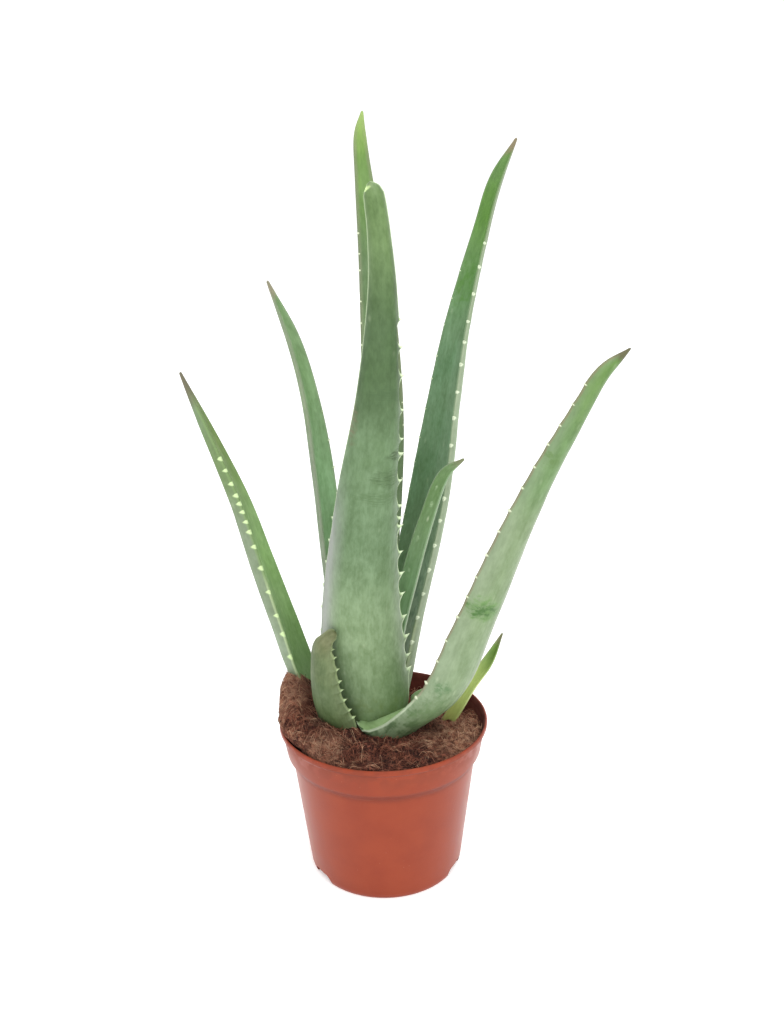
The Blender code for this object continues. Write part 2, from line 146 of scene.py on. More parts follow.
def pot_outline():
    """The wall's section, from the middle of the underside, out, up and back down inside."""
    shoulder = POT_HEIGHT - COLLAR_HEIGHT
    lip = POT_HEIGHT - LIP_HEIGHT
    under = [
        (CHANNEL_INNER, 0),
        (CHANNEL_INNER + 1.2, CHANNEL_HEIGHT),
        (CHANNEL_OUTER - 0.6, CHANNEL_HEIGHT),
        (CHANNEL_OUTER, 0),
    ]
    outside = [
        (FOOT_RADIUS - 1.0, 0),
        (FOOT_RADIUS, 2.6),
        (BODY_RADIUS, shoulder - 3.4),
        (BODY_RADIUS + 0.4, shoulder - 2.2),
        (COLLAR_RADIUS - 0.5, shoulder + 0.5),
        (COLLAR_RADIUS + 0.3, shoulder + 1.8),
        (RIM_RADIUS - 1.5, lip - 0.6),
        (RIM_RADIUS, lip + 0.2),
        (RIM_RADIUS, POT_HEIGHT),
    ]
    inside = [
        (RIM_RADIUS - 1.5, POT_HEIGHT),
        (RIM_RADIUS - 2.4, lip),
        (COLLAR_RADIUS - 1.2, shoulder + 2.4),
        (COLLAR_RADIUS - 2.0, shoulder + 1.0),
        (BODY_RADIUS - WALL + 0.7, shoulder - 1.0),
        (BODY_RADIUS - WALL, shoulder - 3.2),
        (FOOT_RADIUS - 1.4, CHANNEL_HEIGHT + WALL),
        (CHANNEL_INNER + 0.2, CHANNEL_HEIGHT + WALL),
        (CHANNEL_INNER - 1.0, WALL),
    ]
    return rounded([(0, 0)] + under + outside + inside + [(0, WALL)])


def water_ways():
    """Cutters for the arches in the foot and the holes in the floor, as one mesh."""
    shape = bmesh.new()
    for angle in NOTCH_ANGLES:
        arch = bmesh.ops.create_cube(shape, size=1)["verts"]
        size = ((CHANNEL_HEIGHT + 4) * MM, NOTCH_WIDTH * MM, 2 * NOTCH_HEIGHT * MM)
        bmesh.ops.scale(shape, vec=size, verts=arch)
        edges = {edge for vertex in arch for edge in vertex.link_edges}
        across = [e for e in edges if abs((e.verts[0].co - e.verts[1].co).normalized().x) > 0.9]
        bent = bmesh.ops.bevel(
            shape, geom=across, offset=ARCH_ROUNDING * MM, segments=8, profile=0.5, affect="EDGES"
        )
        curved = {vertex for face in bent["faces"] for vertex in face.verts}
        arch = list(curved | {vertex for vertex in arch if vertex.is_valid})
        place = Matrix.Rotation(math.radians(angle), 4, "Z")
        place @= Matrix.Translation(((FOOT_RADIUS - 0.6) * MM, 0, 0))
        bmesh.ops.transform(shape, matrix=place, verts=arch)
    for index in range(DRAIN_COUNT):
        place = Matrix.Rotation(2 * math.pi * index / DRAIN_COUNT + math.radians(15), 4, "Z")
        place @= Matrix.Translation((DRAIN_RING * MM, 0, (CHANNEL_HEIGHT + WALL / 2) * MM))
        bmesh.ops.create_cone(
            shape,
            cap_ends=True,
            segments=32,
            radius1=DRAIN_RADIUS * MM,
            radius2=DRAIN_RADIUS * MM,
            depth=4 * WALL * MM,
            matrix=place,
        )
    return mesh_from("water_ways", shape)


def tone(red, green, blue):
    """A linear colour from the 0 to 255 values of a colour card."""
    share = np.array((red, green, blue)) / 255
    linear = np.where(share < 0.04045, share / 12.92, ((share + 0.055) / 1.055) ** 2.4)
    return (*(float(part) for part in linear), 1.0)


def node(tree, kind, inputs=None, **settings):
    """A shader node with its settings, whose inputs are set to values or linked to sockets."""
    made = tree.nodes.new("ShaderNode" + kind)
    for key, value in settings.items():
        setattr(made, key, value)
    for socket, value in (inputs or {}).items():
        if isinstance(value, bpy.types.NodeSocket):
            tree.links.new(value, made.inputs[socket])
        else:
            made.inputs[socket].default_value = value
    return made


def maths(tree, operation, first, second, third=0.5):
    """The output of one Math node."""
    return node(tree, "Math", {0: first, 1: second, 2: third}, operation=operation).outputs[0]


def times(tree, first, second):
    """The product of two values."""
    return maths(tree, "MULTIPLY", first, second)


def scaled(tree, value, factor, base):
    """The value times the factor, plus the base."""
    return maths(tree, "MULTIPLY_ADD", value, factor, base)


def vector(tree, operation, first, second=(0.0, 0.0, 0.0)):
    """The output of one Vector Math node, which is a number for a length or a dot product."""
    made = node(tree, "VectorMath", {0: first, 1: second}, operation=operation)
    return made.outputs["Value" if operation in ("LENGTH", "DOT_PRODUCT") else "Vector"]


def fade(tree, value, low, high):
    """0 below low and 1 above high, or the other way round if low is the greater, with soft ends."""
    inputs = {"Value": value, "From Min": low, "From Max": high}
    return node(tree, "MapRange", inputs, interpolation_type="SMOOTHSTEP").outputs[0]


def blend(tree, share, first, second, mode="MIX"):
    """The output of a colour Mix node: first where share is 0, second where it is 1."""
    made = node(tree, "Mix", {0: share, 6: first, 7: second}, data_type="RGBA", blend_type=mode)
    return made.outputs[2]


def new_group(name, inputs, outputs):
    """An empty shader node group; a default's length says what kind of socket an input is."""
    kinds = {1: "NodeSocketFloat", 3: "NodeSocketVector", 4: "NodeSocketColor"}
    made = bpy.data.node_groups.new(name, "ShaderNodeTree")
    for socket, default in inputs.items():
        kind = kinds[np.size(default)]
        made.interface.new_socket(socket, in_out="INPUT", socket_type=kind).default_value = default
    for socket, size in outputs.items():
        made.interface.new_socket(socket, in_out="OUTPUT", socket_type=kinds[size])
    start = made.nodes.new("NodeGroupInput")
    end = made.nodes.new("NodeGroupOutput")
    return made, start.outputs, end.inputs


def use_group(tree, group, inputs):
    """The outputs of a group node whose inputs are set to values or linked to sockets."""
    return node(tree, "Group", inputs, node_tree=group).outputs


def millimetres(tree):
    """The point on the piece, in millimetres."""
    place = node(tree, "TexCoord").outputs["Object"]
    return node(tree, "VectorMath", {0: place, "Scale": 1 / MM}, operation="SCALE").outputs[0]


def new_material(name, roughness, **settings):
    """A material and its shader; settings are the shader's constant values."""
    made = bpy.data.materials.new(name)
    made.use_nodes = True
    shader = made.node_tree.nodes["Principled BSDF"]
    shader.inputs["Roughness"].default_value = roughness
    for socket, value in settings.items():
        shader.inputs[socket.replace("_", " ").title().replace("Ior", "IOR")].default_value = value
    return made, made.node_tree, shader.inputs


def squeezed(tree, given):
    """A group's place, squeezed along Y by its Stretch, and how many cells a millimetre holds."""
    shrink = maths(tree, "DIVIDE", 1.0, given["Stretch"])
    shrink = node(tree, "CombineXYZ", {"X": 1.0, "Y": shrink, "Z": 1.0}).outputs[0]
    return vector(tree, "MULTIPLY", given["Vector"], shrink), maths(tree, "DIVIDE", 1.0, given["Size"])


# Patches of one colour in another: Size is their width, Stretch makes them longer along Y
mottle, mottle_in, mottle_out = new_group(
    "mottle",
    {"Vector": (0, 0, 0), "Size": 10.0, "Stretch": 1.0, "Spread": 0.2, "Detail": 3.0},
    {"Mask": 1},
)
place, cells = squeezed(mottle, mottle_in)
inputs = {"Vector": place, "Scale": cells, "Detail": mottle_in["Detail"], "Roughness": 0.55}
cloud = node(mottle, "TexNoise", inputs).outputs[0]
low = maths(mottle, "SUBTRACT", 0.5, mottle_in["Spread"])
high = maths(mottle, "ADD", 0.5, mottle_in["Spread"])
mottle.links.new(fade(mottle, cloud, low, high), mottle_out["Mask"])

# Small round or long flecks: Size is the room that each one has, and Cover is how many of them show
flecks, flecks_in, flecks_out = new_group(
    "flecks",
    {"Vector": (0, 0, 0), "Size": 2.0, "Stretch": 1.0, "Cover": 0.3, "Reach": 0.35},
    {"Mask": 1},
)
place, cells = squeezed(flecks, flecks_in)
spots = node(flecks, "TexVoronoi", {"Vector": place, "Scale": cells}).outputs
drawn = node(flecks, "SeparateColor", {0: spots["Color"]}).outputs[0]
shown = maths(flecks, "LESS_THAN", drawn, flecks_in["Cover"])
round_spot = fade(flecks, spots["Distance"], flecks_in["Reach"], 0.0)
flecks.links.new(times(flecks, shown, round_spot), flecks_out["Mask"])


def patchy(tree, place, size, stretch=1.0, spread=0.2, detail=3.0):
    """The mask of one mottle node."""
    inputs = {"Vector": place, "Size": size, "Stretch": stretch, "Spread": spread, "Detail": detail}
    return use_group(tree, mottle, inputs)["Mask"]


def specks(tree, place, size, stretch=1.0, cover=0.3, reach=0.35):
    """The mask of one flecks node."""
    inputs = {"Vector": place, "Size": size, "Stretch": stretch, "Cover": cover, "Reach": reach}
    return use_group(tree, flecks, inputs)["Mask"]


def terracotta_plastic():
    """Outside: clean, slightly cloudy plastic, with painted shade under the collar and under the lip.
    Inside: darker and duller.
    """
    made, tree, shader = new_material("terracotta_plastic", 0.3, specular_ior_level=0.22)
    place = millimetres(tree)
    height = node(tree, "SeparateXYZ", {0: place}).outputs["Z"]
    cloudy = patchy(tree, place, 18.0, stretch=2.0)
    colour = blend(tree, cloudy, tone(134, 53, 28), tone(141, 58, 31))
    fine = patchy(tree, place, 0.9, spread=0.3)
    colour = blend(tree, times(tree, fine, 0.15), colour, tone(124, 48, 32))
    near_rim = fade(tree, height, POT_HEIGHT - COLLAR_HEIGHT, POT_HEIGHT - 2)
    smears = patchy(tree, place, 7.0, spread=0.08, detail=6.0)
    smears = times(tree, times(tree, smears, near_rim), 0.25)
    colour = blend(tree, smears, colour, tone(92, 48, 36))
    dust = specks(tree, place, 3.2, cover=0.16, reach=0.14)
    colour = blend(tree, times(tree, dust, 0.3), colour, tone(190, 130, 108))
    # Painted shade: a dark band under the collar's step and a thin dark line under the lip, which are
    # also rougher.
    step = POT_HEIGHT - COLLAR_HEIGHT
    under = times(tree, fade(tree, height, step - 6.0, step - 1.0), 0.55)
    under = times(tree, fade(tree, height, step + 3.0, step + 0.5), under)
    lip = fade(tree, height, POT_HEIGHT - LIP_HEIGHT - 1.4, POT_HEIGHT - LIP_HEIGHT - 0.4)
    lip = times(tree, fade(tree, height, POT_HEIGHT - 2.2, POT_HEIGHT - LIP_HEIGHT), lip)
    under = scaled(tree, lip, 0.35, under)
    colour = blend(tree, under, colour, tone(96, 32, 18))
    # The inner wall, whose faces look towards the axis, is darker and rougher.
    radial = vector(tree, "MULTIPLY", place, (1, 1, 0))
    radial = vector(tree, "NORMALIZE", radial)
    normal = node(tree, "NewGeometry").outputs["Normal"]
    outward = vector(tree, "DOT_PRODUCT", radial, normal)
    inside = fade(tree, outward, 0.1, -0.5)
    inner_wall_colour = blend(tree, smears, tone(78, 34, 28), tone(50, 26, 22))
    colour = blend(tree, times(tree, inside, 0.9), colour, inner_wall_colour)
    tree.links.new(colour, shader["Base Color"])
    gloss = scaled(tree, cloudy, 0.06, 0.29)
    gloss = scaled(tree, maths(tree, "ADD", under, inside), 0.35, gloss)
    tree.links.new(scaled(tree, smears, 0.8, gloss), shader["Roughness"])
    ripple = patchy(tree, place, 1.6, spread=0.4)
    bump = node(tree, "Bump", {"Height": ripple, "Distance": 0.03 * MM, "Strength": 0.5})
    tree.links.new(bump.outputs[0], shader["Normal"])
    return made


pot = add_piece(
    "nursery_pot",
    turned("nursery_pot", pot_outline(), POT_STEPS),
    terracotta_plastic(),
    "pot_plastic",
    "pot",
)
carve(pot, water_ways())
pot.data.shade_smooth()
pot.data.set_sharp_from_angle(angle=math.radians(38))

# Stem and roots
# The short woody stem that carries the rosette, with a few thick roots. It is buried in the mix, so
# it keeps its solid, in a dull, flaking brown bark.


def stem_bark():
    """Dull brown bark that flakes in pale patches."""
    made, tree, shader = new_material("stem_bark", 0.85)
    place = millimetres(tree)
    flakes = patchy(tree, place, 2.5, spread=0.15, detail=5.0)
    patches = patchy(tree, place, 9.0, spread=0.2)
    colour = blend(tree, flakes, tone(96, 70, 44), tone(142, 112, 76))
    colour = blend(tree, times(tree, patches, 0.5), colour, tone(70, 46, 32))
    tree.links.new(colour, shader["Base Color"])
    bump = node(tree, "Bump", {"Height": flakes, "Distance": 0.5 * MM})
    tree.links.new(bump.outputs[0], shader["Normal"])
    return made


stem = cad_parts["stem"]
stem.data.materials.clear()
stem.data.materials.append(stem_bark())

# Front leaf
# The broad, blunt leaf that stands in front of the rest. A leaf is one piece of water-filled flesh in
# a waxy skin: hollow on its inner face, rounded behind, with a thin pale margin of horny teeth.
MARGIN_EDGE = 0.9
SWELLING = 0.55
TOOTH_BASE = 1.25
TOOTH_LEAN = 0.45
TOOTH_STEPS = (-1.0, -0.6, -0.3, -0.1, 0.0, 0.12, 0.28, 0.5)
PLAIN_STEP = 2.6
TIP_STEPS = (2.0, 1.4, 0.9, 0.5, 0.2)
SHORTEST_STEP = 0.12
BASE_STEPS = (0, 1.5, 4)
BASE_SHARES = (0.55, 0.85, 1)
MARGIN_INSETS = (0.35, 0.8, 1.6, 3.0)
MARGIN_SHARES = (0.06, 0.14, 0.25, 0.4)
FACE_STEPS = 7
OUTER_GRAIN = 90  # how far the outer face's pattern lies from the inner face's
LEAF_GRAIN = 37.0  # how far each leaf's pattern lies from the next leaf's
TONE_PARTS = ("low", "middle", "high", "tip")


def smooth_line(points, count):
    """count rows spread along a smooth line that passes through the given rows."""
    rows = np.array(points, float).reshape(len(points), -1)
    rows = np.vstack([2 * rows[0] - rows[1], rows, 2 * rows[-1] - rows[-2]])
    place = np.linspace(0, len(rows) - 3, count)
    start = np.minimum(place.astype(int), len(rows) - 4)
    f = (place - start)[:, None]
    a, b, c, d = (rows[start + k] for k in range(4))
    linear = (c - a) * f
    square = (2 * a - 5 * b + 4 * c - d) * f**2
    cube = (3 * b - 3 * c + d - a) * f**3
    return (2 * b + linear + square + cube) / 2


def unit(rows):
    return rows / np.linalg.norm(rows, axis=-1, keepdims=True)


class Leaf:
    """One leaf: the line through the middle of its inner face, and its section along that line.

    through      points of that line, base to tip
    half_widths  half the blade's width at each of those points
    thickest     greatest depth of flesh behind the inner face
    facing       compass angles that the inner face looks to, base to tip, in degrees
    clasp        half angle that the section bends through, at the base and at the tip
    """

    SAMPLES = 160

    def __init__(self, through, half_widths, thickest, facing, clasp):
        self.path = smooth_line(through, self.SAMPLES)
        steps = np.linalg.norm(np.diff(self.path, axis=0), axis=1)
        self.far = np.concatenate([[0], np.cumsum(steps)])
        self.length = self.far[-1]
        self.half = smooth_line(half_widths, self.SAMPLES)[:, 0]
        widest = np.median(half_widths[: len(half_widths) // 2 + 1])
        self.depth = thickest * np.minimum(1, self.half / widest) ** 0.8
        share = np.linspace(0, 1, self.SAMPLES)
        self.turn = np.radians(np.interp(share, np.linspace(0, 1, len(facing)), facing))
        self.bend = np.radians(clasp[1] + (clasp[0] - clasp[1]) * (1 - share) ** 3)
        self.along = unit(np.gradient(self.path, axis=0))

    def at(self, distance, values):
        columns = [np.interp(distance, self.far, column) for column in np.atleast_2d(values.T)]
        return np.array(columns).T if values.ndim > 1 else columns[0]


def smooth_mesh(name, corners, faces):
    """A smooth mesh of corners given in millimetres."""
    mesh = bpy.data.meshes.new(name)
    mesh.from_pydata(corners * MM, [], faces)
    mesh.shade_smooth()
    return mesh


def tooth_places(leaf, teeth, size, seen, draw):
    """Where the teeth of one margin stand, and how long each is; seen gives their places outright."""
    if not size:
        return np.zeros(0), np.zeros(0)
    first, last, low_gap, high_gap = teeth
    places = [first + draw.uniform(0, low_gap / 2)]
    while places[-1] < last * leaf.length:
        gap = low_gap + (high_gap - low_gap) * places[-1] / leaf.length
        places.append(places[-1] + gap * draw.uniform(0.8, 1.2))
    places = np.array(seen or places[:-1], float)
    sizes = size * (1 - 0.5 * places / leaf.length) * draw.uniform(0.8, 1.15, len(places))
    return places, sizes


def tooth_rise(distance, places, sizes, root):
    """How far the margin stands out at each distance, in mm, and the share of the tooth's height."""
    rise = np.zeros_like(distance)
    share = np.zeros_like(distance)
    for place, size in zip(places, sizes):
        far = (distance - place) / (root * size)
        slope = np.where(far < 0, 1 + far, 1 - far / TOOTH_STEPS[-1])
        slope = np.clip(slope, 0, 1) ** 1.6
        rise += slope * size
        share = np.maximum(share, slope)
    return rise, share


def between(distance, places):
    """0 at each tooth and 1 half way between two, before the first tooth 0 too."""
    index = np.searchsorted(places, distance)
    inside = (index > 0) & (index < len(places))
    index = np.clip(index, 1, len(places) - 1)
    low, high = places[index - 1], places[index]
    arc = np.sin(math.pi * np.clip((distance - low) / (high - low), 0, 1))
    return np.where(inside, np.maximum(arc, 0) ** 0.5, 0)


def blade_mesh(
    name,
    leaf,
    seed,
    teeth=None,
    sizes=(1, 1),
    seen=None,
    scallop=(0.0, 0.0),
    cushion=None,
    root=TOOTH_BASE,
    thinning=(0.75, 0.75),
):
    """The leaf's skin, ring by ring, with the attributes that its material reads.

    teeth     first place in mm, last as a share of the length, and the gaps at base and tip
    sizes     length of the teeth on either side
    seen      places of the teeth by side, where the row is known
    scallop   how far the margin draws in between the teeth of the two sides
    cushion   depth of the pad of flesh inside one margin, and where it starts and stops thinning
    root      length of a tooth's lower side along the margin, as a share of its height
    thinning  how gently the flesh thins out towards the two margins; more is thinner

    The attributes are:
    place  share across from -1 to 1, share along, and 1 on the outer face
    grain  distance across, distance along and the leaf's own number, in mm
    edge   distance from the margin in mm, share of a tooth's height, and the side
    """
    draw = np.random.default_rng(seed)
    margins = {side: (np.zeros(0), np.zeros(0)) for side in (1, -1)}
    if teeth:
        margins = {
            side: tooth_places(leaf, teeth, size, (seen or {}).get(side), draw)
            for side, size in zip((1, -1), sizes)
        }
    stops = list(np.linspace(0, leaf.length, int(leaf.length / PLAIN_STEP) + 1)) + [BASE_STEPS[1]]
    stops += [leaf.length - step for step in TIP_STEPS]
    for rows in margins.values():
        stops += [place + root * size * step for place, size in zip(*rows) for step in TOOTH_STEPS]
    stops = np.array(sorted(stops))
    stops = stops[np.concatenate([[True], np.diff(stops) > SHORTEST_STEP])]

    along = unit(leaf.at(stops, leaf.along))
    middle = leaf.at(stops, leaf.path)
    turn = leaf.at(stops, leaf.turn)
    inward = np.stack([np.cos(turn), np.sin(turn), np.zeros_like(turn)], axis=1)
    inward = unit(inward - (inward * along).sum(1, keepdims=True) * along)
    side = np.cross(along, inward)
    shrink = np.interp(stops, BASE_STEPS, BASE_SHARES)
    half = leaf.at(stops, leaf.half)
    radius = half / leaf.at(stops, leaf.bend)
    half = half * shrink
    depth = leaf.at(stops, leaf.depth) * shrink
    bend = half / radius
    edge_depth = MARGIN_EDGE * np.minimum(1, half / 3)

    insets = [np.zeros_like(half)]
    insets += [np.minimum(inset, share * half) for inset, share in zip(MARGIN_INSETS, MARGIN_SHARES)]
    shares = [1 - inset / half for inset in insets]
    shares += [shares[-1] * (1 - step / FACE_STEPS) for step in range(1, FACE_STEPS)]
    face = shares + [np.zeros_like(half)] + [-share for share in reversed(shares)]
    last = len(face) - 1
    pulls = [1, 1, 0.9, 0.7, 0.4] + [0] * (FACE_STEPS - 1)
    pulls = pulls + [0] + pulls[::-1]
    roots = [1, 0.3, 0.08] + [0] * (FACE_STEPS + 1)
    roots = roots + [0] + roots[::-1]
    rows = {sign: tooth_rise(stops, *margins[sign], root) for sign in (1, -1)}
    hollows = {
        sign: between(stops, margins[sign][0]) * deep if len(margins[sign][0]) > 1 else 0 * stops
        for sign, deep in zip((1, -1), scallop)
    }
    columns, place, grain, edge = [], [], [], []

    def add_column(k, outer, behind, push=0.0):
        share = face[k]
        sign = 1 if k * 2 < last else -1
        rise, tooth = rows[sign]
        angle = bend * share
        outward = side * np.sin(angle)[:, None] - inward * np.cos(angle)[:, None]
        lateral = side * np.cos(angle)[:, None] + inward * np.sin(angle)[:, None]
        point = middle + inward * radius[:, None] + outward * (radius + behind)[:, None]
        point += lateral * sign * (rise * roots[k] - hollows[sign] * pulls[k] + push)[:, None]
        point += along * (rise * roots[k] * TOOTH_LEAN)[:, None]
        columns.append(point)
        place.append(np.stack([share, stops / leaf.length, np.full_like(share, outer)], 1))
        across = share * half + OUTER_GRAIN * outer
        grain.append(np.stack([across, stops, np.full_like(share, LEAF_GRAIN * seed)], 1))
        near = np.minimum(half * (1 - np.abs(share)), 99)
        edge.append(np.stack([near, tooth * roots[k], np.full_like(share, sign)], 1))

    def slimmed(k):
        return edge_depth * (1 - 0.85 * rows[1 if k * 2 < last else -1][1])

    def relief(share, outer):
        """Slow swellings of the flesh, broad and fine, which fade out at the margins."""
        wave = [
            noise.noise(Vector((x / 9, y / 30, seed + 5.0 * outer)))
            + 0.35 * noise.noise(Vector((x / 3.5, y / 14, seed + 9.0 + outer)))
            for x, y in zip(share * half, stops)
        ]
        return np.array(wave) * (1 - np.abs(share) ** 4) * np.minimum(1, half / 12) * SWELLING

    for k, share in enumerate(face):
        if k in (0, last):
            add_column(k, 0, (edge_depth - slimmed(k)) / 2)
        else:
            padded = 0.0
            if cushion:
                padded = cushion[0] * np.interp(stops, cushion[1:], (1, 0))
                padded = padded * np.interp(share, (-0.5, 0, 0.84, 0.97), (0, 1, 1, 0))
            add_column(k, 0, 0.5 * relief(share, 0) - padded)
    add_column(last, 0.5, edge_depth / 2, 0.3 * edge_depth / MARGIN_EDGE)
    for k in range(last, -1, -1):
        if k in (0, last):
            add_column(k, 1, (edge_depth + slimmed(k)) / 2)
        else:
            power = thinning[0 if k * 2 < last else 1]
            flesh = depth * (1 - np.abs(face[k]) ** 2.2) ** power
            add_column(k, 1, edge_depth + flesh + relief(face[k], 1))
    add_column(0, 0.5, edge_depth / 2, 0.3 * edge_depth / MARGIN_EDGE)

    points = np.stack(columns, axis=1)
    rings, around = points.shape[:2]
    tip = points[-1].mean(0) + leaf.along[-1] * 0.8
    corners = np.vstack([points.reshape(-1, 3), tip])
    index = np.arange(rings * around).reshape(rings, around)
    nexts = np.roll(index, -1, axis=1)
    quads = np.stack([index[:-1], index[1:], nexts[1:], nexts[:-1]], axis=-1).reshape(-1, 4)
    fan = [(int(a), len(corners) - 1, int(b)) for a, b in zip(index[-1], nexts[-1])]
    mesh = smooth_mesh(name, corners, quads.tolist() + fan + [index[0].tolist()])
    for label, values in (("place", place), ("grain", grain), ("edge", edge)):
        values = np.stack(values, axis=1).reshape(-1, 3)
        values = np.vstack([values, values[-around:].mean(0)])
        layer = mesh.attributes.new(label, "FLOAT_VECTOR", "POINT")
        layer.data.foreach_set("vector", values.astype(np.float32).ravel())
    return mesh


# The blade's own colour: tones run from its base to its tip, on each face, and are mottled
blade, blade_in, blade_out = new_group(
    "blade",
    {
        "Place": (0, 0, 0),
        "Grain": (0, 0, 0),
        "Outer Low": tone(140, 160, 130),
        "Outer Middle": tone(118, 144, 110),
        "Outer High": tone(112, 138, 98),
        "Outer Tip": tone(112, 138, 96),
        "Inner Low": tone(104, 136, 100),
        "Inner Middle": tone(104, 138, 90),
        "Inner High": tone(112, 148, 78),
        "Inner Change": 0.5,
        "Flank": tone(128, 134, 116),
        "Flank Side": 1.0,
        "Flank From": 0.45,
        "Flank Top": 2.0,
        "Flank Amount": 0.5,
        "Other Flank": 0.2,
        "Mottle Amount": 0.6,
        "Bloom Amount": 0.15,
        "Fleck Amount": 0.1,
    },
    {"Colour": 4, "Height": 1, "Gloss": 1},
)
spot = node(blade, "SeparateXYZ", {0: blade_in["Place"]}).outputs
grain = blade_in["Grain"]
outer, inner = blade_in["Outer Low"], blade_in["Inner Low"]
outer = blend(blade, fade(blade, spot["Y"], 0.26, 0.46), outer, blade_in["Outer Middle"])
outer = blend(blade, fade(blade, spot["Y"], 0.6, 0.72), outer, blade_in["Outer High"])
outer = blend(blade, fade(blade, spot["Y"], 0.78, 0.94), outer, blade_in["Outer Tip"])
inner = blend(blade, fade(blade, spot["Y"], 0.1, 0.5), inner, blade_in["Inner Middle"])
change_end = scaled(blade, blade_in["Inner Change"], 0.5, 0.6)
high_share = fade(blade, spot["Y"], blade_in["Inner Change"], change_end)
inner = blend(blade, high_share, inner, blade_in["Inner High"])
colour = blend(blade, fade(blade, spot["Z"], 0.4, 0.6), inner, outer)
bloomed = patchy(blade, grain, 14.0, stretch=2.5)
bloomed = times(blade, bloomed, blade_in["Bloom Amount"])
colour = blend(blade, bloomed, colour, tone(158, 172, 152))
shade = 0.0
# Size, stretch, spread and weight of each layer of the mottling
for size, stretch, spread, weight in (
    (9.0, 2.2, 0.2, 0.3),
    (3.4, 3.2, 0.15, 0.36),
    (1.1, 3.0, 0.2, 0.34),
):
    patches = patchy(blade, grain, size, stretch=stretch, spread=spread, detail=4.0)
    shade = scaled(blade, patches, weight, shade)
colour = blend(
    blade,
    times(blade, shade, blade_in["Mottle Amount"]),
    colour,
    blend(blade, 1.0, colour, tone(160, 178, 138), "MULTIPLY"),
)
broad = patchy(blade, grain, 3.6, stretch=16.0, spread=0.2)
thin = patchy(blade, grain, 0.8, stretch=40.0, spread=0.25)
lined = scaled(blade, broad, 0.6, times(blade, thin, 0.4))
colour = blend(
    blade,
    times(blade, lined, 0.35),
    colour,
    blend(blade, 1.0, colour, tone(188, 202, 170), "MULTIPLY"),
)
across = times(blade, spot["X"], blade_in["Flank Side"])
flank_end = maths(blade, "ADD", blade_in["Flank From"], 0.5)
flank = fade(blade, across, blade_in["Flank From"], flank_end)
flank_low = maths(blade, "ADD", blade_in["Flank Top"], 0.16)
flank_low = fade(blade, spot["Y"], flank_low, blade_in["Flank Top"])
flank_low = times(blade, flank_low, blade_in["Flank Amount"])
flank = times(blade, flank, flank_low)
other = times(blade, fade(blade, across, -0.35, -0.95), blade_in["Other Flank"])
flank = maths(blade, "ADD", flank, other)
flank = times(blade, flank, fade(blade, spot["Z"], 0.4, 0.6))
flank = times(blade, flank, scaled(blade, broad, 0.3, 0.7))
colour = blend(blade, flank, colour, blade_in["Flank"])
pale = specks(blade, grain, 5.0, stretch=2.6, cover=0.4, reach=0.2)
pale = times(blade, pale, blade_in["Fleck Amount"])
colour = blend(blade, pale, colour, tone(214, 224, 190))
pores = specks(blade, grain, 0.7, stretch=1.6, cover=0.8, reach=0.4)
blade.links.new(colour, blade_out["Colour"])
ridged = scaled(blade, broad, 0.8, times(blade, thin, 0.7))
blade.links.new(scaled(blade, pores, -0.3, ridged), blade_out["Height"])
gloss = scaled(blade, spot["Z"], 0.06, 0.4)
blade.links.new(scaled(blade, shade, 0.14, gloss), blade_out["Gloss"])

# The margin's horny line and its teeth: the line differs from side to side, and on the minus side
# it is Minus Wider times as wide
margin, margin_in, margin_out = new_group(
    "margin",
    {
        "Edge": (0, 0, 0),
        "Grain": (0, 0, 0),
        "Place": (0, 0, 0),
        "Colour": tone(130, 150, 120),
        "Line": tone(176, 190, 146),
        "Line Low": tone(176, 190, 146),
        "Line Change": 0.16,
        "Line Plus": 0.5,
        "Line Minus": 0.5,
        "Line Width": 0.6,
        "Minus Wider": 1.0,
        "Tooth": tone(206, 214, 184),
        "Point": tone(186, 170, 128),
    },
    {"Colour": 4},
)
spot = node(margin, "SeparateXYZ", {0: margin_in["Edge"]}).outputs
broken = patchy(margin, margin_in["Grain"], 5.0, spread=0.2)
plus = fade(margin, spot["Z"], -0.5, 0.5)
amount = times(margin, plus, margin_in["Line Plus"])
minus = times(margin, maths(margin, "SUBTRACT", 1.0, plus), margin_in["Line Minus"])
amount = maths(margin, "ADD", amount, minus)
wide = maths(margin, "SUBTRACT", 1.0, margin_in["Minus Wider"])
wide = scaled(margin, plus, wide, margin_in["Minus Wider"])
wide = times(margin, wide, margin_in["Line Width"])
line = times(margin, fade(margin, spot["X"], wide, 0.1), amount)
line = times(margin, line, scaled(margin, broken, 0.4, 0.6))
along = node(margin, "SeparateXYZ", {0: margin_in["Place"]}).outputs["Y"]
change_end = maths(margin, "ADD", margin_in["Line Change"], 0.06)
along = fade(margin, along, margin_in["Line Change"], change_end)
horn = blend(margin, along, margin_in["Line Low"], margin_in["Line"])
colour = blend(margin, line, margin_in["Colour"], horn)
colour = blend(margin, fade(margin, spot["Y"], 0.05, 0.3), colour, margin_in["Tooth"])
colour = blend(margin, fade(margin, spot["Y"], 0.85, 1.0), colour, margin_in["Point"])
margin.links.new(colour, margin_out["Colour"])

# The dried tip of a leaf: From is the share of the leaf's length where the browning starts
withered, withered_in, withered_out = new_group(
    "withered",
    {
        "Place": (0, 0, 0),
        "Grain": (0, 0, 0),
        "Colour": tone(130, 150, 120),
        "Dry": tone(120, 98, 78),
        "From": 0.95,
        "Reach": 0.05,
    },
    {"Colour": 4},
)
spot = node(withered, "SeparateXYZ", {0: withered_in["Place"]}).outputs
ragged = patchy(withered, withered_in["Grain"], 2.5, stretch=3.0, spread=0.3)
reach = scaled(withered, ragged, 0.02, spot["Y"])
full = maths(withered, "ADD", withered_in["From"], withered_in["Reach"])
dry = times(withered, fade(withered, reach, withered_in["From"], full), 0.92)
colour = blend(withered, dry, withered_in["Colour"], withered_in["Dry"])
withered.links.new(colour, withered_out["Colour"])
